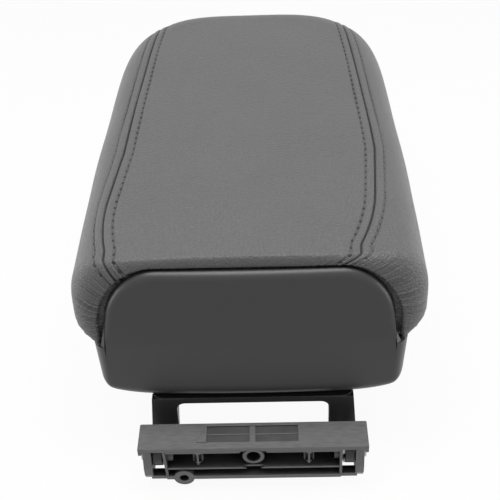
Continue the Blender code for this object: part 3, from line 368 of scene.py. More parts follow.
def zinc_plated_steel():
    """Turned steel with bright zinc: fine scratches across a grey-blue shine."""
    made, tree, shader, where = blank_material("zinc_plated_steel")
    tint, _ = mottled(tree, where, colours().steel, 0.86, 1.08, 700.0)
    scratch = noise(tree, where, 4200.0, 2.0)
    set_inputs(tree, shader, {
        "Base Color": tint,
        "Roughness": rough_between(tree, scratch, 0.24, 0.38),
        "Normal": bumped(tree, scratch, 0.2, 0.03 * MM),
        "Metallic": 1.0,
    })
    return made


def open_cell_foam():
    """Moulded polyurethane: pale, matte, pitted by cells half a millimetre across."""
    made, tree, shader, where = blank_material("moulded_foam")
    cells = add_node(tree, "ShaderNodeTexVoronoi", {"Vector": where, "Scale": 1900.0}).outputs["Distance"]
    set_inputs(tree, shader, {
        # Painted shade: the cells' pits are coloured darker, down to 0.62 of the base.
        "Base Color": two_colours(tree, cells, colours().foam, (0.62, 1.05)),
        "Roughness": 0.95,
        "Normal": bumped(tree, cells, 0.6, 0.2 * MM),
    })
    return made


def bonded_thread():
    """Bonded polyester thread: dark, with painted highlights and shade in bands along its twist."""
    made, tree, shader, where = blank_material("bonded_thread")
    twist = add_node(
        tree, "ShaderNodeTexWave", {"Vector": where, "Scale": 420.0, "Distortion": 1.5},
        bands_direction="DIAGONAL",
    ).outputs["Fac"]
    set_inputs(tree, shader, {
        # Painted highlight and shade: the colour goes from 0.6 to 1.3 times the base across the twist's
        # bands.
        "Base Color": two_colours(tree, twist, colours().thread, (0.6, 1.3)),
        "Roughness": 0.6,
        "Normal": bumped(tree, twist, 0.4, 0.08 * MM),
    })
    return made


# Meshes

def grid_faces(rows, columns, close_columns=False):
    """Quads of a grid of rows by columns, whose last column may join the first."""
    index = np.arange(rows * columns).reshape(rows, columns)
    if close_columns:
        index = np.concatenate([index, index[:, :1]], axis=1)
    return np.stack([index[:-1, :-1], index[:-1, 1:], index[1:, 1:], index[1:, :-1]], axis=-1).reshape(-1, 4)


def put_mesh(name, points, faces, material, sharp=40):
    """An object at the origin with the points and quads given."""
    mesh = bpy.data.meshes.new(name)
    points = np.asarray(points, dtype=np.float32).reshape(-1, 3)
    faces = np.asarray(faces, dtype=np.int32)
    mesh.vertices.add(len(points))
    mesh.vertices.foreach_set("co", points.ravel())
    mesh.loops.add(faces.size)
    mesh.loops.foreach_set("vertex_index", faces.ravel())
    mesh.polygons.add(len(faces))
    mesh.polygons.foreach_set("loop_start", np.arange(0, faces.size, faces.shape[1], dtype=np.int32))
    mesh.update(calc_edges=True)
    mesh.validate()
    made = bpy.data.objects.new(name, mesh)
    bpy.context.scene.collection.objects.link(made)
    mesh.materials.append(material)
    mesh.shade_smooth()
    if sharp:
        mesh.set_sharp_from_angle(angle=math.radians(sharp))
    return made


def tidy_mesh(made, merge=0.01 * MM, outward=None):
    """Merges doubles and turns the faces out, or towards a direction on an open skin."""
    shape = bmesh.new()
    shape.from_mesh(made.data)
    bmesh.ops.remove_doubles(shape, verts=shape.verts, dist=merge)
    bmesh.ops.dissolve_degenerate(shape, edges=shape.edges, dist=merge)
    bmesh.ops.recalc_face_normals(shape, faces=shape.faces)
    if outward is not None:
        shape.normal_update()
        if sum(face.normal.dot(Vector(outward)) * face.calc_area() for face in shape.faces) < 0:
            bmesh.ops.reverse_faces(shape, faces=shape.faces)
    shape.to_mesh(made.data)
    shape.free()
    return made


SKIN_MERGE = 0.004 * MM  # points of an open skin merge within this distance


def add_wall(made, name, thickness):
    """Gives an open skin a wall behind its outer face."""
    wall = made.modifiers.new(name, "SOLIDIFY")
    wall.thickness = thickness
    wall.offset = -1


def smooth_step(value):
    """Zero, then a smooth rise, then one."""
    value = np.clip(value, 0, 1)
    return value * value * (3 - 2 * value)


def unit(vectors):
    """Vectors brought to length one."""
    return vectors / np.maximum(np.linalg.norm(vectors, axis=-1, keepdims=True), 1e-12)


def surface_normals(points, outward):
    """Unit normals of a grid surface, from the cross product of its two sets of differences."""
    normal = unit(np.cross(np.gradient(points, axis=0), np.gradient(points, axis=1)))
    if np.sum(normal * np.asarray(outward)) < 0:
        normal = -normal
    return normal


# Pad surface
#
# In plan the pad is straight-sided and ends in a superellipse. Every point lies at a share of the way from
# the pad's axis to that outline, and its height depends on that share alone: flap, bottom radius, upright
# side, shoulder and crown. At the rear the section rolls in to the arch.

def travelled_along(x, z):
    """Length along a line of points, from its first point."""
    return np.concatenate([[0], np.cumsum(np.hypot(np.diff(x), np.diff(z)))])


def pad_section():
    """Length along the section from the flap's end, share of the half width and height below the top."""
    angle = np.radians(np.linspace(-90, 0, 25))
    bottom_x = PAD_HALF - BOTTOM_RADIUS + BOTTOM_RADIUS * np.cos(angle)
    bottom_z = -PAD_HEIGHT + BOTTOM_RADIUS + BOTTOM_RADIUS * np.sin(angle)
    sweep = np.radians(np.linspace(90, 0, 97))
    shoulder_x = SEAM_HALF + (PAD_HALF - SEAM_HALF) * np.sin(sweep) ** (2 / 2.3)
    shoulder_z = -SHOULDER_DROP + (SHOULDER_DROP - CROWN) * np.cos(sweep) ** (2 / 2.3)
    crown_x = np.linspace(SEAM_HALF, 0, 60)[1:]
    x = np.concatenate([[PAD_HALF - FLAP], bottom_x, shoulder_x, crown_x])
    z = np.concatenate([[-PAD_HEIGHT], bottom_z, shoulder_z, -CROWN * (crown_x / SEAM_HALF) ** 2])
    return travelled_along(x, z), x / PAD_HALF, z


TRAVELLED, SHARE, HEIGHT = pad_section()
WALL_TOP = int(np.argmax(SHARE >= 1 - 1e-9)) + 1
UP_SHARE = SHARE[WALL_TOP:][::-1]
UP_LENGTH = TRAVELLED[WALL_TOP:][::-1]
UP_HEIGHT = HEIGHT[WALL_TOP:][::-1]
END_ANGLE = math.degrees(math.asin((SEAM_END / PAD_HALF) ** (NOSE_POWER / 2)))


def skewed(y):
    """How far the seams stand to the left of their mean place: most at the rear, none on the front half."""
    return SKEW * np.clip((SKEW_END - y) / SKEW_RUN, 0, 1.1)


def seam_x(y):
    """Half the distance between the seams: widest on one stretch, less behind and before it."""
    rear = np.clip((WIDEST[0] - y) / PINCH_RUN, 0, 1.15) ** 2
    front = np.clip((y - WIDEST[1]) / NARROWING_RUN, 0, 1.1) ** 2.5
    return SEAM_HALF - PINCH * rear - NARROWING * front


def nose_outline(angle, half=PAD_HALF, reach=NOSE_LENGTH):
    """Plan outline of a nose, a superellipse; the angle in degrees is 90 at the side and 0 at the tip."""
    turn = np.radians(angle)
    return half * np.sin(turn) ** (2 / NOSE_POWER), NOSE_START + reach * np.cos(turn) ** (2 / NOSE_POWER)


def drooped(y, z):
    """The nose's top sinks with the distance forward, while the bottom stays level."""
    sink = NOSE_DROOP * np.clip((y - DROOP_START) / (PAD_NOSE - DROOP_START), 0, 1) ** 2.2
    return z - sink * (z + PAD_HEIGHT) / PAD_HEIGHT


def tapered(points):
    """The pad narrows smoothly over its front half."""
    points[..., 0] *= 1 - TAPER * smooth_step((points[..., 1] - TAPER_START) / TAPER_RUN)
    return points


def placed(points):
    """Points of the cover with their taper and droop, lifted to the pad's top."""
    points = tapered(points)
    points[..., 2] = drooped(points[..., 1], points[..., 2]) + PAD_TOP
    return points


def arch_line(side):
    """The arch's half, from the flap up its side and round its corner to the seam, by share of length."""
    seam = float(seam_x(PAD_REAR) - side * skewed(PAD_REAR))
    centre_x = ARCH_HALF - ARCH_RADIUS
    centre_z = -ARCH_DROP - ARCH_RADIUS
    angle = np.linspace(0, math.acos((seam - centre_x) / ARCH_RADIUS), 60)
    x = np.concatenate([[ARCH_HALF + 2 * MM, ARCH_HALF], centre_x + ARCH_RADIUS * np.cos(angle)])
    z = np.concatenate([[-PAD_HEIGHT, -PAD_HEIGHT], centre_z + ARCH_RADIUS * np.sin(angle)])
    travelled = travelled_along(x, z)
    return travelled / travelled[-1], x, z


def arch_height(x, half=ARCH_HALF, drop=ARCH_DROP, radius=ARCH_RADIUS):
    """Height of an arch over x, below the pad's top: flat in the middle, a quarter circle at each side."""
    beyond = np.clip(np.abs(x) - (half - radius), 0, radius)
    return -drop - radius + np.sqrt(radius**2 - beyond**2)


def rear_path(full, arch, reach):
    """Rear end of a panel: hidden flap, small bend at the edge, then an elliptic quarter turn to the section.

    full and arch are the points (x, z) of each row on the full section and on the arch. The flap turns down
    over the foam, towards the middle of the arch's foot.
    """
    distance = np.maximum(np.hypot(full[0] - arch[0], full[1] - arch[1]), 1.3 * EDGE_BEND)
    bend = EDGE_BEND / distance
    flap = np.linspace(TURNED_DOWN, 0.8 * MM, 5)[:, None]
    away = np.stack([-arch[0], -PAD_HEIGHT - arch[1]])
    away /= np.linalg.norm(away, axis=0)
    stations = [(np.ones_like(bend), np.full_like(bend, PAD_REAR + TUCK)) for _ in flap]
    for y in np.linspace(PAD_REAR + TUCK - 0.8 * MM, PAD_REAR + EDGE_BEND, 4)[:-1]:
        stations.append((np.ones_like(bend), np.full_like(bend, y)))
    for turn in np.radians(np.linspace(90, 0, 6)):
        share = 1 - bend + bend * math.sin(turn)
        stations.append((share, PAD_REAR + EDGE_BEND * (1 - math.cos(turn)) * np.ones_like(bend)))
    for turn in np.radians(np.linspace(90, 0, 26))[1:]:
        share = (1 - bend) * (1 - math.cos(turn))
        stations.append((share, PAD_REAR + reach * (1 - math.sin(turn)) * np.ones_like(bend)))
    share = np.array([station[0] for station in stations])
    y = np.array([station[1] for station in stations])
    x = full[0] * (1 - share) + arch[0] * share
    z = full[1] * (1 - share) + arch[1] * share
    x[:len(flap)] += away[0] * flap
    z[:len(flap)] += away[1] * flap
    lean = REAR_LEAN * np.clip((arch[1] + PAD_HEIGHT) / PAD_HEIGHT, 0, 1) ** 1.5
    lean = lean * np.clip(1 - (y - PAD_REAR) / ROLL_SIDE, 0, 1)
    return np.stack([x, y + lean, z], axis=-1)


REAR_STATIONS = 39
STRAIGHT_Y = np.linspace(46 * MM, NOSE_START, 90)
NOSE_ANGLES = 90 - (90 - END_ANGLE) * np.linspace(0, 1, 61)[1:] ** 0.85


def seam_ends(side):
    """Share of the half width, plan outline and seam length at each station in front of the roll."""
    nose_x, nose_y = nose_outline(NOSE_ANGLES)
    out_x = np.concatenate([np.full(len(STRAIGHT_Y), PAD_HALF), nose_x])
    out_y = np.concatenate([STRAIGHT_Y, nose_y])
    axis_y = np.minimum(out_y, NOSE_START)
    share = np.ones(len(out_x))
    for _ in range(60):
        y = axis_y + share * (out_y - axis_y)
        share = np.minimum(1.0, (seam_x(y) - side * skewed(y)) / out_x)
    return share, out_x, out_y, axis_y, np.interp(share, UP_SHARE, UP_LENGTH)


def side_surface(rows, side):
    """Side panel, drawn on the right; rows holds shares of the way from the flap's end (0) to the seam (1).

    Rows may be one line for all stations, or one line for each. The side is 1 for the right and -1 for the
    left panel, whose seams differ at the rear.
    """
    share, out_x, out_y, axis_y, end = seam_ends(side)
    rows = np.broadcast_to(rows, (REAR_STATIONS + len(share), np.shape(rows)[-1]))
    behind = rows[REAR_STATIONS]
    seam = seam_x(SECTION_Y) - side * skewed(SECTION_Y)
    last = float(np.interp(seam / PAD_HALF, UP_SHARE, UP_LENGTH))
    arch_share, arch_x, arch_z = arch_line(side)
    covered = last * behind
    full = (PAD_HALF * np.interp(covered, TRAVELLED, SHARE), np.interp(covered, TRAVELLED, HEIGHT))
    arch = (np.interp(behind, arch_share, arch_x), np.interp(behind, arch_share, arch_z))
    reach = ROLL_TOP + (ROLL_SIDE - ROLL_TOP) * np.clip((1 - behind) / 0.45 + 0.35, 0, 1)
    rear = rear_path(full, arch, reach)
    along = rows[REAR_STATIONS:] * end[:, None]
    local = np.interp(along, TRAVELLED, SHARE)
    x = local * out_x[:, None]
    y = axis_y[:, None] + local * (out_y - axis_y)[:, None]
    front = np.stack([x, y, np.interp(along, TRAVELLED, HEIGHT)], axis=-1)
    return placed(np.concatenate([rear, front])), np.concatenate([np.full(REAR_STATIONS, last), end])


NOSE_ROWS = np.linspace(1, 0, 50)[1:]
CURVE_START = 120 * MM  # the cross lines bend towards the nose's curve from here


def centre_surface(columns):
    """Centre panel; columns hold shares of the way from the middle to the right seam, -1 to 1."""
    share, out_x, out_y, axis_y, _ = seam_ends(0)
    front_count = len(share)
    columns = np.broadcast_to(columns, (REAR_STATIONS + front_count + len(NOSE_ROWS), np.shape(columns)[-1]))
    behind = columns[REAR_STATIONS]
    full_x = behind * float(seam_x(SECTION_Y)) - skewed(SECTION_Y)
    arch_x = behind * float(seam_x(PAD_REAR)) - skewed(PAD_REAR)
    across = np.abs(behind)
    seam_reach = ROLL_TOP + (ROLL_SIDE - ROLL_TOP) * 0.35
    reach = ROLL_TOP + (seam_reach - ROLL_TOP) * np.clip((across - 0.5) / 0.5, 0, 1) ** 2
    full = (full_x, np.interp(np.abs(full_x) / PAD_HALF, UP_SHARE, UP_HEIGHT))
    rear = rear_path(full, (arch_x, arch_height(arch_x)), reach)

    x_end = (share * out_x)[:, None]
    y_end = (axis_y + share * (out_y - axis_y))[:, None]
    x = columns[REAR_STATIONS:REAR_STATIONS + front_count] * x_end - skewed(y_end)
    ahead = np.maximum(0.0, y_end - NOSE_START) / NOSE_LENGTH
    level = (x_end / PAD_HALF) ** NOSE_POWER + ahead**NOSE_POWER
    inner = np.clip(level - (np.abs(x) / PAD_HALF) ** NOSE_POWER, 0, None)
    curved = NOSE_START + NOSE_LENGTH * inner ** (1 / NOSE_POWER)
    blend = np.clip((y_end - CURVE_START) / (y_end[-1] - CURVE_START), 0, 1) ** 2
    y = np.maximum(y_end, y_end * (1 - blend) + curved * blend)
    ahead = np.clip(y - NOSE_START, 0, None) / NOSE_LENGTH
    local = np.minimum(((np.abs(x) / PAD_HALF) ** NOSE_POWER + ahead**NOSE_POWER) ** (1 / NOSE_POWER), 1)
    top = np.stack([x, y, np.interp(local, UP_SHARE, UP_HEIGHT)], axis=-1)

    down = columns[REAR_STATIONS + front_count:]
    nose_x = down * SEAM_END
    nose_y = NOSE_START + NOSE_LENGTH * (1 - (np.abs(nose_x) / PAD_HALF) ** NOSE_POWER) ** (1 / NOSE_POWER)
    along = TRAVELLED[WALL_TOP] * NOSE_ROWS
    local = np.interp(along, TRAVELLED, SHARE)[:, None]
    height = np.broadcast_to(np.interp(along, TRAVELLED, HEIGHT)[:, None], nose_x.shape)
    nose = np.stack([local * nose_x, NOSE_START + local * (nose_y - NOSE_START), height], axis=-1)

    half_width = np.concatenate([
        np.full(REAR_STATIONS, float(seam_x(SECTION_Y))), x_end[:, 0], np.full(len(NOSE_ROWS), SEAM_END)
    ])
    return placed(np.concatenate([rear, top, nose])), half_width


# Relief of the cover

DIVE_WIDTH = 0.55 * MM
BAND_HEIGHT, BAND_WIDTH = 0.18 * MM, 1.2 * MM
GROOVE_DEPTH, GROOVE_WIDTH = 0.42 * MM, 0.65 * MM
PUFF_RUN = 8 * MM
GATHERS = ((0.42, 1.5 * MM, 1.3), (0.34, 2.2 * MM, 4.1), (0.26, 3.9 * MM, 0.4))  # share, wavelength, phase
GATHER_START, GATHER_REACH = 2 * MM, 6.5 * MM  # from the pad's rear end
SLACK = 0.12 * MM
RELIEF_RUN = 12 * MM  # puff and slack grow over this distance from the rear end
SEAM_CLEAR = 0.25 * MM


def bell(distance, width):
    """One at no distance, and a bell curve of the width given on both sides."""
    return np.exp(-((distance / width) ** 2))


def seam_relief(distance):
    """Height beside a seam: the panel dives at the seam, stands in a low band and dips at the stitches."""
    own = sizes()
    dive = -own.seam_depth * bell(distance, DIVE_WIDTH)
    band = BAND_HEIGHT * bell(distance - own.stitch_inset / 2, BAND_WIDTH)
    groove = -GROOVE_DEPTH * bell(distance - own.stitch_inset, GROOVE_WIDTH)
    return dive + band + groove


def puff_relief(distance):
    """Rise of the foam beyond the stitches, over about a centimetre."""
    own = sizes()
    return own.puff * (1 - np.exp(-np.clip(distance - own.stitch_inset, 0, None) / PUFF_RUN))


def gathers(travelled, y, amount):
    """Folds that run out from the arch: sine waves along the edge that fade with the distance from it."""
    phase = 2 * np.pi * (travelled + 0.12 * (y - PAD_REAR))
    uneven = 0.6 + 0.4 * np.sin(phase / (11 * MM) + 0.7)
    fine, middling, broad = (share * np.sin(phase / long + start) for share, long, start in GATHERS)
    fade = bell(np.clip(y - PAD_REAR - GATHER_START, 0, None), GATHER_REACH)
    return amount * sizes().wrinkle * (fine * uneven + middling + broad) * fade


def slack(x, y):
    """Slow waves of the hide over the foam, up to a fifth of a millimetre high."""
    crossing = np.sin(x / (17 * MM) + 0.6) * np.sin(y / (23 * MM))
    slanting = np.sin(y / (9.5 * MM) + x / (13 * MM))
    return SLACK * (crossing + 0.6 * slanting)


def raised(points, outward, distance, covered, travelled, amount):
    """The points moved along their normals by the relief of the seam, foam, hide and gathers."""
    x, y = points[..., 0], points[..., 1]
    grown = np.clip((y - PAD_REAR) / RELIEF_RUN, 0, 1) * covered
    relief = seam_relief(distance) + (puff_relief(distance) + slack(x, y)) * grown
    relief += gathers(travelled, y, amount)
    return points + surface_normals(points, outward) * relief[..., None]


def side_cover_points(side):
    """Side panel with its relief, as a grid of stations by rows."""
    count = sizes().drape_rows
    _, end = side_surface(np.array([0.5]), side)
    rows = np.concatenate([np.linspace(0, 0.86, count), np.linspace(0.86, 1, 34)[1:]])
    rows = rows[None, :] * (1 - SEAM_CLEAR / end[:, None])
    points, _ = side_surface(rows, side)
    distance = (1 - rows) * end[:, None]
    covered = np.clip(rows / 0.25, 0, 1)
    window = np.sin(np.pi * np.clip((rows - 0.1) / 0.95, 0, 1)) ** 0.5
    return raised(points, (1, 0, 0), distance, covered, rows * end[:, None], window) * (side, 1, 1)


def centre_cover_points():
    """Centre panel with its relief, as a grid of stations by columns."""
    _, half_width = centre_surface(np.array([0.0]))
    edge = np.linspace(0.87, 1, 26)[1:]
    columns = np.concatenate([-edge[::-1], np.linspace(-0.87, 0.87, 96), edge])
    columns = columns[None, :] * (1 - SEAM_CLEAR / half_width[:, None])
    points, _ = centre_surface(columns)
    distance = (1 - np.abs(columns)) * half_width[:, None]
    station = np.arange(len(points))[:, None]
    covered = np.clip((len(points) - 1 - station) / 14, 0, 1)
    corner = 0.25 + 0.75 * np.clip((np.abs(columns) - 0.6) / 0.4, 0, 1)
    return raised(points, (0, 0, 1), distance, covered, columns * half_width[:, None], corner)


def leather_piece(name, points, material, outward, node):
    """One panel of the cover as a skin with a wall, placed on the lid in place of its solid."""
    made = put_mesh(name, points, grid_faces(*points.shape[:2]), material, sharp=0)
    tidy_mesh(made, SKIN_MERGE, outward)
    add_wall(made, "hide", LEATHER)
    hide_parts(node)
    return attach(made, "lid")


# Stitching

STITCH_SHARE = {"inner": 0.74, "outer": 0.86}  # length of a stitch over the pitch
HOLE_SIZE = {"inner": 0.95 * MM, "outer": 0.5 * MM}
STITCH_SUNK = 0.3 * MM
STITCH_FOOT, STITCH_RISE = 0.45 * MM, 0.62 * MM  # ends below the row, and rise from there
WELT_DEPTH = 1.05 * MM  # of the closing thread below the panel
WELT_STEP = 0.5 * MM


def seam_line(side, panel, inset):
    """Points and normals along a row at the inset from one side's seam, on the outer or the inner panel."""
    offsets = inset + np.array([-0.4, 0, 0.4]) * MM
    if panel == "outer":
        _, reach = side_surface(np.array([0.5]), side)
        points, _ = side_surface(1 - offsets[None, :] / reach[:, None], side)
        points = points * (side, 1, 1)
        normals = surface_normals(points, (side, 0, 0))
    else:
        _, reach = centre_surface(np.array([0.0]))
        points, _ = centre_surface(side * (1 - offsets[None, :] / reach[:, None]))
        normals = surface_normals(points, (0, 0, 1))
    return points[:, 1], normals[:, 1]


def resampled(line, normals, pitch, start, stop):
    """Places at an even pitch along a line, with tangent and normal at each."""
    gone = np.concatenate([[0], np.cumsum(np.linalg.norm(np.diff(line, axis=0), axis=1))])
    places = np.arange(gone[-1] * start, gone[-1] * stop, pitch)

    def found(at, values):
        return np.stack([np.interp(at, gone, values[:, axis]) for axis in range(3)], axis=-1)

    point = found(places, line)
    tangent = unit(found(places + 0.2 * pitch, line) - point)
    return point, tangent, upright(found(places, normals), tangent)


def upright(normal, tangent):
    """Unit normals turned square to the tangents."""
    return unit(normal - tangent * np.sum(normal * tangent, axis=1, keepdims=True))


def repeated_faces(count, rows, columns):
    """Faces of several like grids in turn, each closed round its columns."""
    one = grid_faces(rows, columns, close_columns=True)
    return (one[None] + np.arange(count)[:, None, None] * rows * columns).reshape(-1, 4)


def thread_mesh(point, tangent, normal, radius, long):
    """Stitches: each is a short round thread whose height is a half sine and whose ends close to a point."""
    t = np.linspace(0, 1, 9)
    around = np.linspace(0, 2 * np.pi, 9)[:-1]
    across = np.cross(tangent, normal)
    thick = radius * np.sqrt(np.clip(1 - (2 * t - 1) ** 4, 0, None))
    rise = -STITCH_FOOT + STITCH_RISE * np.sin(np.pi * t)
    ahead = tangent[:, None] * (long * (t - 0.5))[None, :, None]
    centre = point[:, None] + ahead + normal[:, None] * rise[None, :, None]
    ring = (
        across[:, None, None] * np.cos(around)[None, None, :, None]
        + normal[:, None, None] * np.sin(around)[None, None, :, None]
    )
    vertices = centre[:, :, None] + ring * thick[None, :, None, None]
    return vertices.reshape(-1, 3), repeated_faces(len(point), len(t), len(around))


def dot_mesh(point, tangent, normal, long, wide, high):
    """Flattened domes: one at each needle hole."""
    turn = np.linspace(0, np.pi, 6)
    around = np.linspace(0, 2 * np.pi, 11)[:-1]
    across = np.cross(tangent, normal)
    local = np.stack([
        np.outer(np.sin(turn), np.cos(around)) * long,
        np.outer(np.sin(turn), np.sin(around)) * wide,
        np.outer(np.cos(turn), np.ones(len(around))) * high,
    ], axis=-1)
    axes = np.stack([tangent, across, normal], axis=1)
    vertices = point[:, None, None] + np.einsum("abk,nkc->nabc", local, axes)
    return vertices.reshape(-1, 3), repeated_faces(len(point), len(turn), len(around))


def joined(parts):
    """Several vertex and face arrays as one."""
    vertices = np.concatenate([part[0] for part in parts])
    starts = np.cumsum([0] + [len(part[0]) for part in parts[:-1]])
    return vertices, np.concatenate([part[1] + start for part, start in zip(parts, starts)])


def mirrored(vertices, faces):
    """The mirror image at x = 0, with its faces turned back out."""
    return vertices * (-1, 1, 1), faces[:, ::-1]


def tube_mesh(line, normals, radius):
    """A tube along a line, with closed ends; radius holds one value for each place."""
    tangent = unit(np.gradient(line, axis=0))
    normal = upright(normals, tangent)
    across = np.cross(tangent, normal)
    around = np.linspace(0, 2 * np.pi, 9)[:-1]
    radius = np.array(radius)
    radius[[0, -1]] = 0
    ring = across[:, None] * np.cos(around)[None, :, None] + normal[:, None] * np.sin(around)[None, :, None]
    vertices = line[:, None] + ring * radius[:, None, None]
    return vertices.reshape(-1, 3), grid_faces(len(line), len(around), close_columns=True)


def seam_parts(side):
    """Threads, needle holes and closing thread of one seam, as three vertex and face arrays."""
    own = sizes()
    threads, holes = [], []
    for panel, share in STITCH_SHARE.items():
        line, normals = seam_line(side, panel, own.stitch_inset)
        line = line - normals * STITCH_SUNK
        point, tangent, normal = resampled(line, normals, own.stitch_pitch, 0.035, 0.97)
        threads.append(thread_mesh(point, tangent, normal, own.thread, own.stitch_pitch * share))
        point = point + tangent * own.stitch_pitch / 2
        size = HOLE_SIZE[panel]
        holes.append(dot_mesh(point + normal * 0.08 * MM, tangent, normal, size, size * 0.8, 0.2 * MM))
    line, normals = seam_line(side, "outer", 0.0)
    point, _, normal = resampled(line, normals, WELT_STEP, 0.01, 0.99)
    wave = np.sin(2 * np.pi * np.arange(len(point)) * WELT_STEP / own.stitch_pitch)
    welt = tube_mesh(point - normal * WELT_DEPTH, normal, (0.42 + 0.1 * wave) * MM)
    return joined(threads), joined(holes), welt


# Foam

FOAM_REAR = PAD_REAR + 14.5 * MM
FOAM_DEPTH = 2.7 * MM  # from the leather's outer face
FOAM_CORNER = 7 * MM
FOAM_NARROW = 0.05  # its rear end is narrower by this share
FOAM_SINK = 1.2 * MM  # and lower by this much
FOAM_REAR_RUN = 12 * MM


def foam_outline():
    """Full plan outline of the foam, clockwise from the middle of its rear edge."""
    half = PAD_HALF - FOAM_DEPTH
    turn = np.radians(np.linspace(0, 90, 12))
    nose_x, nose_y = nose_outline(np.linspace(90, 0, 40)[1:], half, NOSE_LENGTH - FOAM_DEPTH - 2 * MM)
    x = np.concatenate([
        np.linspace(0, half - FOAM_CORNER, 12)[:-1], half - FOAM_CORNER + FOAM_CORNER * np.sin(turn),
        np.full(30, half), nose_x,
    ])
    y = np.concatenate([
        np.full(11, FOAM_REAR), FOAM_REAR + FOAM_CORNER - FOAM_CORNER * np.cos(turn),
        np.linspace(FOAM_REAR + FOAM_CORNER, NOSE_START, 31)[1:], nose_y,
    ])
    return np.concatenate([x, -x[-2:0:-1]]), np.concatenate([y, y[-2:0:-1]])


def foam_points():
    """Foam surface: every ring is the outline drawn in to a share of itself, from floor to crown."""
    x, y = foam_outline()
    foot = BOARD_TOP + 0.4 * MM - PAD_TOP
    first = np.interp(foot, HEIGHT[:WALL_TOP], TRAVELLED[:WALL_TOP])
    along = np.linspace(first, TRAVELLED[-1], 60)
    share = np.interp(along, TRAVELLED, SHARE)[:, None]
    height = np.interp(along, TRAVELLED, HEIGHT)[:, None]
    height = height - FOAM_DEPTH * (height + PAD_HEIGHT) / PAD_HEIGHT
    axis_y = np.clip(y, FOAM_REAR, NOSE_START)[None, :]
    ring_y = axis_y + (y[None, :] - axis_y) * share
    narrower = FOAM_NARROW * np.clip((SECTION_Y + 2 * MM - ring_y) / FOAM_REAR_RUN, 0, 1)
    ring_x = x[None, :] * share * (1 - narrower)
    sink = FOAM_SINK * np.clip((SECTION_Y - ring_y) / FOAM_REAR_RUN, 0, 1)
    ring_z = np.maximum(drooped(ring_y, height) - sink, foot)
    rings = tapered(np.stack([ring_x, ring_y, ring_z], axis=-1))
    floor = rings[:1] * (0, 1, 0) + np.array([0, 0, foot])
    points = np.concatenate([floor, rings])
    points[..., 2] += PAD_TOP
    return points


# Shell

def shell_outline():
    """Right half of the shell's outline: x, y (none on the rear wall), rim height and direction inward."""
    turn = np.linspace(0, np.pi / 2, 64)
    rear_x = SHELL_ARCH_HALF * np.sin(turn)
    rear_rim = PAD_TOP + arch_height(rear_x, SHELL_ARCH_HALF, SHELL_ARCH_DROP, SHELL_ARCH_RADIUS)
    corner = np.radians(np.linspace(0, 90, 16)[1:])
    corner_x = SHELL_ARCH_HALF + (SHELL_HALF - SHELL_ARCH_HALF) * np.sin(corner)
    corner_y = CORNER_REAR + (CORNER_FRONT - CORNER_REAR) * (1 - np.cos(corner))
    side_y = np.linspace(39 * MM, NOSE_START, 90)
    nose_x, nose_y = nose_outline(np.linspace(90, 0, 44)[1:], SHELL_HALF, SHELL_NOSE - NOSE_START)
    away = unit(np.stack([nose_x, nose_y - NOSE_START], axis=-1))
    x = np.concatenate([rear_x, corner_x, np.full(len(side_y), SHELL_HALF), nose_x])
    y = np.concatenate([np.full(len(rear_x), np.nan), corner_y, side_y, nose_y])
    rim = np.concatenate([rear_rim, np.full(len(x) - len(rear_rim), SHELL_RIM)])
    in_x = np.concatenate([np.zeros(len(rear_x)), -np.sin(corner), np.full(len(side_y), -1.0), -away[:, 0]])
    in_y = np.concatenate([np.ones(len(rear_x)), np.cos(corner), np.zeros(len(side_y)), -away[:, 1]])
    return x, y, rim, in_x, in_y


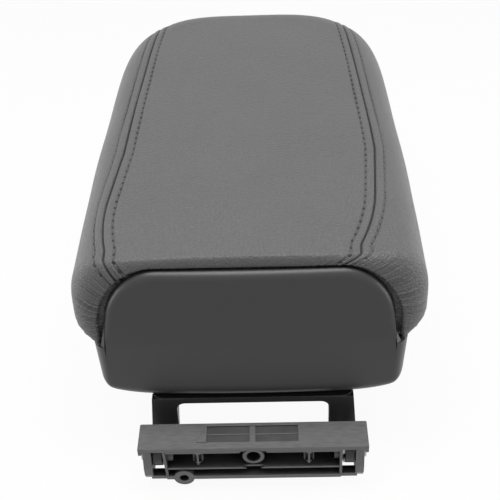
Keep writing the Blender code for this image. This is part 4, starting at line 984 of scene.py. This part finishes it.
def shell_columns(kind, x, y, rim, in_x, in_y):
    """Outer surface of one kind of column: down the wall, round the bottom radius and along the floor."""
    floor_y = FLOOR_AXIS if kind != "side" else y
    floor = SHELL_FLOOR + (FRONT_FLOOR - SHELL_FLOOR) * smooth_step((floor_y - STEP_START) / STEP_RUN)
    floor = np.broadcast_to(floor, x.shape)
    rise = np.zeros_like(x)
    if kind != "side":
        outside = np.clip((x - CORNER_START) / CORNER_RUN, 0, 1)
        rise = CORNER_RISE * (1 - np.sqrt(1 - outside**2))
    radius = np.minimum(SHELL_BOTTOM_RADIUS, (SHELL_RIM - floor) * 0.7)
    floor = floor + rise
    share = np.linspace(0, 1, 46) ** 1.8
    z = rim[:, None] + (floor + radius - rim)[:, None] * share
    depth = np.clip(SHELL_RIM - z, 0, None)
    draft = SIDE_DRAFT * depth
    lean = SHELL_LEAN / (PAD_TOP - SHELL_ARCH_DROP - SHELL_FLOOR)
    if kind == "rear":
        wall_x = x[:, None] * (1 - 0.6 * draft / SHELL_ARCH_HALF)
        down = PAD_TOP - SHELL_ARCH_DROP - z
        wall_y = WALL_FACE - lean * down + SHELL_BOW * (x[:, None] / SHELL_ARCH_HALF) ** 2
        wall_y = wall_y + TOP_LEAN * np.clip(1 - down / TOP_LEAN_HEIGHT, 0, 1) ** 1.3
    else:
        wall_x = x[:, None] + in_x[:, None] * draft
        back = SHELL_LEAN * depth / (PAD_TOP - SHELL_FLOOR) if kind == "corner" else 0
        wall_y = y[:, None] + in_y[:, None] * draft * 0.3 - back
    foot_x, foot_y = wall_x[:, -1], wall_y[:, -1]
    step_x, step_y = in_x * radius, in_y * radius
    if kind == "rear":
        step_x = -CORNER_PULL * radius * x / SHELL_ARCH_HALF
    elif kind == "corner":
        step_x = CORNER_FLOOR[0] - 0.6 * MM * in_x - foot_x
        step_y = CORNER_FLOOR[1] - 0.6 * MM * in_y - foot_y
    turn = np.radians(np.linspace(0, 90, 14))[1:]
    round_x = foot_x[:, None] + step_x[:, None] * (1 - np.cos(turn))
    round_y = foot_y[:, None] + step_y[:, None] * (1 - np.cos(turn))
    round_z = floor[:, None] + radius[:, None] * (1 - np.sin(turn))
    inward = np.linspace(0, 1, 12)[1:]
    target = FLOOR_AXIS if kind != "side" else np.minimum(y, NOSE_START)[:, None]
    flat_x = round_x[:, -1:] * (1 - inward)
    flat_y = round_y[:, -1:] + (target - round_y[:, -1:]) * inward
    flat_z = (floor - rise)[:, None] + rise[:, None] * (1 - smooth_step(inward / 0.6))
    return np.stack([
        np.concatenate([wall_x, round_x, flat_x], axis=1),
        np.concatenate([wall_y, round_y, flat_y], axis=1),
        np.concatenate([z, round_z, flat_z], axis=1),
    ], axis=-1)


def shell_lip(points):
    """The rear wall's free edge rolls forward in a quarter circle, by the distance to the edge."""
    x, z = np.abs(points[..., 0]), points[..., 2]
    centre_x = SHELL_ARCH_HALF - SHELL_ARCH_RADIUS
    centre_z = PAD_TOP - SHELL_ARCH_DROP - SHELL_ARCH_RADIUS
    round_edge = SHELL_ARCH_RADIUS - np.hypot(x - centre_x, z - centre_z)
    top_edge = centre_z + SHELL_ARCH_RADIUS - z
    side_edge = SHELL_ARCH_HALF - x
    distance = np.where(x > centre_x, np.where(z > centre_z, round_edge, side_edge), top_edge)
    radius = sizes().lip
    inside = np.clip(radius - np.clip(distance, 0, None), 0, radius)
    fade = smooth_step((z - SHELL_RIM - MM) / (16 * MM))
    points[..., 1] += (radius - np.sqrt(radius**2 - inside**2)) * fade
    return points


def shell_points():
    """Right half of the shell's outer surface, columns by rows."""
    x, y, rim, in_x, in_y = shell_outline()
    rear = np.isnan(y)
    front_y = np.where(rear, 0, y)
    corner = ~rear & (front_y < CORNER_FRONT + 0.4 * MM)
    side = ~rear & ~corner

    def pick(kind, mask, at_y=None):
        place = front_y[mask] if at_y is None else np.full(int(mask.sum()), at_y)
        return shell_columns(kind, x[mask], place, rim[mask], in_x[mask], in_y[mask])

    rear_part = shell_lip(pick("rear", rear))
    side_part = pick("side", side)
    first = pick("corner", corner)[-1:]
    settled = pick("side", side, SETTLED_Y)[:1]
    near = front_y[side] < SETTLED_Y
    gone = (front_y[side][near] - CORNER_FRONT) / (SETTLED_Y - CORNER_FRONT)
    share = smooth_step(gone)[:, None, None]
    side_part[near] = first * (1 - share) + settled * share
    return np.concatenate([rear_part, pick("corner", corner), side_part])


def ring_mesh(profile, x, y, sides=28):
    """A closed profile of radius and height, turned round the upright line through x and y."""
    profile = np.array(profile)
    turn = np.linspace(0, 2 * np.pi, sides, endpoint=False)
    around = np.stack([np.cos(turn), np.sin(turn)], axis=-1)
    vertices = np.stack([
        x + profile[:, :1] * around[:, 0], y + profile[:, :1] * around[:, 1],
        np.broadcast_to(profile[:, 1:], (len(profile), sides)),
    ], axis=-1)
    return vertices.reshape(-1, 3), grid_faces(len(profile), sides, close_columns=True)


def middle(node):
    """Middle of a solid in plan."""
    low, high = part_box(node)
    return (low[0] + high[0]) / 2, (low[1] + high[1]) / 2


def shell_screws():
    """Middle of each screw that holds the shell, and the floor there."""
    return [
        (*middle(f"shell_screw_{row}_{side}"), floor)
        for row, floor in (("rear", SHELL_FLOOR), ("front", FRONT_FLOOR))
        for side in ("left", "right")
    ]


def plug_mesh(x, y, radius, low, high):
    """A round plug that cuts a hole."""
    return ring_mesh([(0, low), (radius, low), (radius, high), (0, high)], x, y)


def shell_cutters():
    """Openings in the shell: screw recesses, bumper holes and the latch's mouth."""
    parts = [plug_mesh(x, y, 4.6 * MM, floor - 4 * MM, SCREW_SEAT) for x, y, floor in shell_screws()]
    for side in ("left", "right"):
        x, y = middle(f"bumper_{side}")
        parts.append(plug_mesh(x, y, 2.6 * MM, FRONT_FLOOR - 2 * MM, FRONT_FLOOR + 6 * MM))
    low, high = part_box("latch_paddle")
    parts.append(block_mesh(
        (low[0] - 0.8 * MM, LATCH_Y - 12 * MM, FRONT_FLOOR - 3 * MM),
        (high[0] + 0.8 * MM, LATCH_Y + 22 * MM, SHELL_RIM - MM),
    ))
    return joined(parts)


def screw_tower(x, y, floor):
    """Upright tower round a screw recess, with a narrower bore above the screw's seat."""
    foot = floor + 0.5 * MM
    return ring_mesh([
        (4.7 * MM, foot), (4.7 * MM, SCREW_SEAT), (2.3 * MM, SCREW_SEAT), (2.3 * MM, SHELL_RIM),
        (6.6 * MM, SHELL_RIM), (6.6 * MM, foot), (4.7 * MM, foot),
    ], x, y)


def bracket_boss(x, y):
    """Round boss inside the shell that takes a screw of the bracket."""
    foot = SHELL_FLOOR + SHELL_WALL - 0.6 * MM
    bore, top = SHELL_FLOOR + 13.9 * MM, SHELL_FLOOR + 15 * MM
    return ring_mesh([
        (0, top), (4.4 * MM, top), (4.4 * MM, foot), (2.0 * MM, foot), (2.0 * MM, bore), (0, bore),
    ], x, y)


def latch_lug(sign):
    """Block beside the latch's mouth that holds one end of its pin."""
    pin_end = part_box("latch_pin")[1][0]
    edge = sorted((sign * pin_end * 0.905, sign * (pin_end + 1.7 * MM)))
    return superellipsoid(
        (edge[0], LATCH_Y - 7.7 * MM, FRONT_FLOOR + 1.5 * MM),
        (edge[1], LATCH_Y + 8.2 * MM, SHELL_RIM - 1.3 * MM),
    )


def block_mesh(low, high):
    """A block's eight corners and six faces."""
    corners = np.array([[(low, high)[i][0], (low, high)[j][1], (low, high)[k][2]]
                        for i in (0, 1) for j in (0, 1) for k in (0, 1)])
    faces = [[0, 1, 3, 2], [4, 6, 7, 5], [0, 4, 5, 1], [2, 3, 7, 6], [0, 2, 6, 4], [1, 5, 7, 3]]
    return corners, np.array(faces)


def applied(made):
    """The object's modifiers made part of its mesh."""
    bpy.context.view_layer.update()
    graph = bpy.context.evaluated_depsgraph_get()
    mesh = bpy.data.meshes.new_from_object(made.evaluated_get(graph))
    made.modifiers.clear()
    made.data = mesh
    return made


def superellipsoid(low, high, power=0.25, rows=14, columns=32):
    """A block with rounded edges: the sphere's sines and cosines are raised to a small power."""
    low, high = np.array(low), np.array(high)
    up = np.linspace(-np.pi / 2, np.pi / 2, rows)[:, None]
    around = np.linspace(-np.pi, np.pi, columns, endpoint=False)[None, :]

    def soft(value):
        return np.sign(value) * np.abs(value) ** power

    ball = np.stack([
        soft(np.cos(up)) * soft(np.cos(around)), soft(np.cos(up)) * soft(np.sin(around)),
        soft(np.sin(up)) * np.ones_like(around),
    ], axis=-1)
    return ((low + high) / 2 + ball * (high - low) / 2).reshape(-1, 3), grid_faces(rows, columns, True)


def finished(name, arrays, material, body, node=None, sharp=40):
    """A closed piece from vertex and face arrays, cleaned and placed on its body, in place of a solid where
    one is named.
    """
    made = put_mesh(name, *arrays, material, sharp=0)
    tidy_mesh(made)
    made.data.shade_smooth()
    if sharp:
        made.data.set_sharp_from_angle(angle=math.radians(sharp))
    if node:
        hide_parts(node)
    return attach(made, body)


def material_named(name, build):
    """The material of that name, built on first use."""
    return bpy.data.materials.get(name) or build()


def dyed_thread():
    """Thread of the stitches, dyed like the leather and dull."""
    return moulded_plastic("dyed_thread", colours().leather, 0.6, 0.3 * MM, 0.05 * MM)


def shell_plastic():
    """ABS of the shell: spark-eroded skin, fine and even, a dull soft gloss."""
    return moulded_plastic("spark_eroded_plastic", colours().shell, 0.36, 0.45 * MM, 0.05 * MM, 0.04)


def arm_plastic():
    """Black nylon of the arms, board and latch: smoother than the shell, with sharp dull highlights."""
    return moulded_plastic("black_nylon", colours().arms, 0.42, 0.6 * MM, 0.05 * MM, 0.08, 0.4 * MM)


def bumper_rubber():
    """Moulded rubber: deep black and matte."""
    return moulded_plastic("moulded_rubber", colours().rubber, 0.8, 0.4 * MM, 0.04 * MM, 0.1, 0.3 * MM)


def recess_shade_skin():
    """Nylon skin of the recess: the same compound as the base, painted darker as shade in the recess."""
    return moulded_plastic("shade_painted_nylon", shade(colours().base, 0.42)[:3], 0.5, 0.35 * MM, 0.06 * MM, 0.3)


# Operators

SIDES = (("left", -1), ("right", 1))


class ARMREST_OT_cover(bpy.types.Operator):
    """Sews the leather cover: a centre panel and two side panels with relief along the seams"""

    bl_idname = "armrest.cover"
    bl_label = "Leather cover"

    def execute(self, context):
        leather = material_named("dyed_embossed_leather", leather_material)
        leather_piece("centre_cover", centre_cover_points(), leather, (0, 0, 1), "centre_panel")
        for name, side in SIDES:
            points = side_cover_points(side)
            leather_piece(f"side_cover_{name}", points, leather, (side, 0, 0), f"{name}_side_panel")
        return {"FINISHED"}


class ARMREST_OT_stitching(bpy.types.Operator):
    """Sews two rows of stitches and the closing thread along each seam"""

    bl_idname = "armrest.stitching"
    bl_label = "Stitching"

    def execute(self, context):
        dark = material_named("bonded_thread", bonded_thread)
        dyed = material_named("dyed_thread", dyed_thread)
        for side, sign in SIDES:
            names = ("stitches", "needle_holes", "seam_thread")
            for name, arrays, thread in zip(names, seam_parts(sign), (dyed, dark, dark)):
                finished(f"{name}_{side}", arrays, thread, "lid", sharp=0)
        return {"FINISHED"}


class ARMREST_OT_foam(bpy.types.Operator):
    """Moulds the foam that fills the cover"""

    bl_idname = "armrest.foam"
    bl_label = "Foam"

    def execute(self, context):
        points = foam_points()
        arrays = (points.reshape(-1, 3), grid_faces(*points.shape[:2], close_columns=True))
        foam_material = material_named("moulded_foam", open_cell_foam)
        foam = finished("foam_core", arrays, foam_material, "lid", "foam_pad")
        return {"FINISHED"}


class ARMREST_OT_shell(bpy.types.Operator):
    """Moulds the lower shell with its rolled rear lip, screw towers and latch lugs"""

    bl_idname = "armrest.shell"
    bl_label = "Lower shell"

    def execute(self, context):
        plastic = material_named("spark_eroded_plastic", shell_plastic)
        right = shell_points()
        faces = grid_faces(*right.shape[:2])
        half = (right.reshape(-1, 3), faces)
        shell = put_mesh("shell_tray", *joined([half, mirrored(*half)]), plastic, sharp=0)
        tidy_mesh(shell, SKIN_MERGE, (0, 0, -1))
        add_wall(shell, "wall", SHELL_WALL)
        cutter = put_mesh("shell_cutters", *shell_cutters(), plastic, sharp=0)
        tidy_mesh(cutter)
        cut = shell.modifiers.new("openings", "BOOLEAN")
        cut.operation = "DIFFERENCE"
        cut.object = cutter
        applied(shell)
        bpy.data.objects.remove(cutter)
        shell.data.shade_smooth()
        shell.data.set_sharp_from_angle(angle=math.radians(38))
        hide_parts("lower_shell")
        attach(shell, "lid")

        towers = [screw_tower(*place) for place in shell_screws()]
        towers += [
            bracket_boss(*middle(f"bracket_screw_{row}_{side}"))
            for row in ("rear", "front") for side in ("left", "right")
        ]
        towers += [latch_lug(sign) for sign in (-1, 1)]
        finished("shell_towers", joined(towers), plastic, "lid")
        return {"FINISHED"}


FINISHES = (  # name, maker and the words in the names of the solids that have it
    ("black_nylon", arm_plastic, ("pad_board", "latch_paddle", "hinge_bracket")),
    ("zinc_plated_steel", zinc_plated_steel, ("screw", "hinge_pin", "latch_pin", "latch_spring")),
    ("glass_filled_nylon", glass_filled_nylon, ("hinge_base", "hinge_bush")),
    ("moulded_rubber", bumper_rubber, ("bumper",)),
)


class ARMREST_OT_hardware(bpy.types.Operator):
    """Gives the hinge, latch, screws, board and bumpers their finishes"""

    bl_idname = "armrest.hardware"
    bl_label = "Hardware finishes"

    def execute(self, context):
        for name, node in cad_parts.items():
            for finish, maker, words in FINISHES:
                if any(word in name for word in words):
                    node.data.materials.clear()
                    node.data.materials.append(material_named(finish, maker))
        return {"FINISHED"}


RECESS_FLOOR = BASE_TOP - 0.7 * MM
RECESS_LOW = (-22 * MM, 3.6 * MM)  # corners of the recess in the base's top plate
RECESS_HIGH = (21.5 * MM, 13.4 * MM)
SUNK = 0.05 * MM  # every piece of the relief reaches this far into the base
SKIN_GAP = 0.1 * MM  # from the skin to the recess's edge
SKIN_RISE = 0.08 * MM
CROSS_RIB, CROSS_RISE = (-1.6 * MM, 1.2 * MM), 0.5 * MM
LONG_RIB, LONG_RISE = (8.2 * MM, 8.9 * MM), 0.3 * MM
WEDGE_LENGTH, WEDGE_RISE = 4.6 * MM, 0.28 * MM
WEDGE_TIP = 0.12  # length of the wedge's far edge over that of its near edge


class ARMREST_OT_base_relief(bpy.types.Operator):
    """Makes the recess skin painted dark as shade, the two crossing ribs and the wedge on the hinge base's
    top plate
    """

    bl_idname = "armrest.base_relief"
    bl_label = "Base relief"

    def execute(self, context):
        (x0, y0), (x1, y1) = RECESS_LOW, RECESS_HIGH
        sunk = RECESS_FLOOR - SUNK
        skin = block_mesh(
            (x0 + SKIN_GAP, y0 + SKIN_GAP, sunk), (x1 - SKIN_GAP, y1 - SKIN_GAP, RECESS_FLOOR + SKIN_RISE)
        )
        # The recess skin is a dark sheet: painted shade on the recess floor, at 0.42 of the base colour.
        shade_skin_piece = put_mesh("recess_shade_skin", *skin, material_named("shade_painted_nylon", recess_shade_skin), sharp=30)
        cross = block_mesh((CROSS_RIB[0], y0, sunk), (CROSS_RIB[1], y1, RECESS_FLOOR + CROSS_RISE))
        along = block_mesh((x0, LONG_RIB[0], sunk), (x1, LONG_RIB[1], RECESS_FLOOR + LONG_RISE))
        corners, faces = block_mesh((x0 - WEDGE_LENGTH, y0, BASE_TOP - SUNK), (x0, y1, BASE_TOP + WEDGE_RISE))
        far = corners[:, 1] > y0
        corners[far, 0] = x0 - (x0 - corners[far, 0]) * WEDGE_TIP
        ribs = joined([cross, along, (corners, faces)])
        nylon = material_named("glass_filled_nylon", glass_filled_nylon)
        rib_piece = put_mesh("recess_ribs", *ribs, nylon, sharp=30)
        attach(shade_skin_piece, "hinge_base_body")
        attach(rib_piece, "hinge_base_body")
        return {"FINISHED"}


# Stage

CAMERA_PLACE = (13.1 * MM, -297.7 * MM, 382.7 * MM)
CAMERA_DOWN = 39.08  # degrees below the horizon
CAMERA_YAW = 2.0
CAMERA_ROLL = -2.49
FOCAL_SHARE = 980 / 500  # focal length over image width
SENSOR = 36.0
LIGHT_AIM = (0, 0.12, 0.06)
LIGHTS = (  # name, place, width, height and power
    ("left_box", (-0.85, 0.12, 0.20), 0.8, 0.4, 3.6),
    ("right_box", (0.85, 0.12, 0.20), 0.8, 0.4, 3.4),
    ("top_box", (0.0, 0.06, 0.72), 0.6, 0.4, 4.4),
)
ROOM_STRENGTH = 0.13
FLOOR_GLOW = 0.94  # share of the floor's look that the object's shadow leaves white


def soft_box(name, place, width, height, power):
    """A rectangular area light that faces the aim."""
    light = bpy.data.lights.new(name, "AREA")
    light.shape = "RECTANGLE"
    light.size = width
    light.size_y = height
    light.energy = power
    made = bpy.data.objects.new(name, light)
    bpy.context.scene.collection.objects.link(made)
    made.location = place
    made.rotation_euler = (Vector(LIGHT_AIM) - Vector(place)).to_track_quat("-Z", "Y").to_euler()


def larger(tree, first, second):
    """The larger of two values."""
    return add_node(tree, "ShaderNodeMath", {0: first, 1: second}, operation="MAXIMUM").outputs["Value"]


def seen_plainly(tree):
    """One for rays from the camera, from mirrors and through glass, and zero for scattered light."""
    path = add_node(tree, "ShaderNodeLightPath")
    either = larger(tree, path.outputs["Is Camera Ray"], path.outputs["Is Transmission Ray"])
    return larger(tree, either, path.outputs["Is Glossy Ray"])


def mixed(tree, share, first, second):
    """The first shader, with a share of the second."""
    inputs = {0: share, 1: first, 2: second}
    return add_node(tree, "ShaderNodeMixShader", inputs).outputs["Shader"]


def floor_material():
    """Pale painted board: the camera and mirrors see it near white, with some of the object's shadow left."""
    made, tree, shader, where = blank_material("pale_floor")
    tint, _ = mottled(tree, where, colours().floor, 0.99, 1.0, 3.0)
    set_inputs(tree, shader, {"Base Color": tint, "Roughness": 0.9})
    glow = add_node(tree, "ShaderNodeEmission", {"Color": (1, 1, 1, 1), "Strength": 1.0})
    share = add_node(tree, "ShaderNodeMath", {0: seen_plainly(tree), 1: FLOOR_GLOW}, operation="MULTIPLY")
    look = mixed(tree, share.outputs["Value"], shader.outputs["BSDF"], glow.outputs["Emission"])
    tree.links.new(look, tree.nodes["Material Output"].inputs["Surface"])
    return made


def white_world():
    """A dim grey room that the camera and mirrors see as white."""
    world = bpy.data.worlds.new("studio")
    world.use_nodes = True
    tree = world.node_tree
    room = tree.nodes["Background"]
    set_inputs(tree, room, {"Color": (1, 1, 1, 1), "Strength": ROOM_STRENGTH})
    white = add_node(tree, "ShaderNodeBackground", {"Color": (1, 1, 1, 1), "Strength": 1.0})
    look = mixed(tree, seen_plainly(tree), room.outputs["Background"], white.outputs["Background"])
    tree.links.new(look, tree.nodes["World Output"].inputs["Surface"])
    return world


class ARMREST_OT_stage(bpy.types.Operator):
    """Sets up the pale floor, the soft lights and the camera"""

    bl_idname = "armrest.stage"
    bl_label = "Stage"

    def execute(self, context):
        scene = context.scene
        level = SOLID_BOX[0][2] - 0.5 * MM
        grid = np.linspace(-1.6, 1.6, 9)
        x, y = np.meshgrid(grid, grid)
        points = np.stack([x, y, np.full_like(x, level)], axis=-1)
        floor = put_mesh("floor", points, grid_faces(9, 9), floor_material(), sharp=0)

        scene.world = white_world()
        for light in LIGHTS:
            soft_box(*light)

        camera_data = bpy.data.cameras.new("photo_camera")
        camera_data.sensor_width = SENSOR
        camera_data.lens = SENSOR * FOCAL_SHARE
        camera_data.clip_start = 0.01
        camera = bpy.data.objects.new("photo_camera", camera_data)
        scene.collection.objects.link(camera)
        camera.location = CAMERA_PLACE
        turn = Euler((math.radians(90 - CAMERA_DOWN), 0, math.radians(CAMERA_YAW))).to_matrix()
        roll = Euler((0, 0, math.radians(CAMERA_ROLL))).to_matrix()
        camera.rotation_euler = (turn @ roll).to_euler()
        scene.camera = camera
        scene.view_settings.view_transform = "Standard"
        return {"FINISHED"}


class ARMREST_PT_panel(bpy.types.Panel):
    """Lists the lid's pieces, sizes and colours"""

    bl_idname = "ARMREST_PT_panel"
    bl_label = "Console armrest lid"
    bl_space_type = "VIEW_3D"
    bl_region_type = "UI"
    bl_category = "Armrest"

    def draw(self, context):
        for operator in OPERATORS:
            self.layout.operator(operator.bl_idname)
        for group in (sizes(), colours()):
            box = self.layout.box()
            for name in group.__annotations__:
                box.prop(group, name)


OPERATORS = (
    ARMREST_OT_stage,
    ARMREST_OT_cover,
    ARMREST_OT_stitching,
    ARMREST_OT_foam,
    ARMREST_OT_shell,
    ARMREST_OT_hardware,
    ARMREST_OT_base_relief,
)
CLASSES = (ARMREST_sizes, ARMREST_colours, *OPERATORS, ARMREST_PT_panel)


def register():
    for made in CLASSES:
        bpy.utils.register_class(made)
    bpy.types.Scene.armrest_sizes = PointerProperty(type=ARMREST_sizes)
    bpy.types.Scene.armrest_colours = PointerProperty(type=ARMREST_colours)


def unregister():
    del bpy.types.Scene.armrest_sizes
    del bpy.types.Scene.armrest_colours
    for made in reversed(CLASSES):
        bpy.utils.unregister_class(made)


def main():
    register()
    bpy.ops.armrest.stage()
    bpy.ops.armrest.cover()
    bpy.ops.armrest.stitching()
    bpy.ops.armrest.foam()
    bpy.ops.armrest.shell()
    bpy.ops.armrest.hardware()
    bpy.ops.armrest.base_relief()


if __name__ == "__main__":
    main()
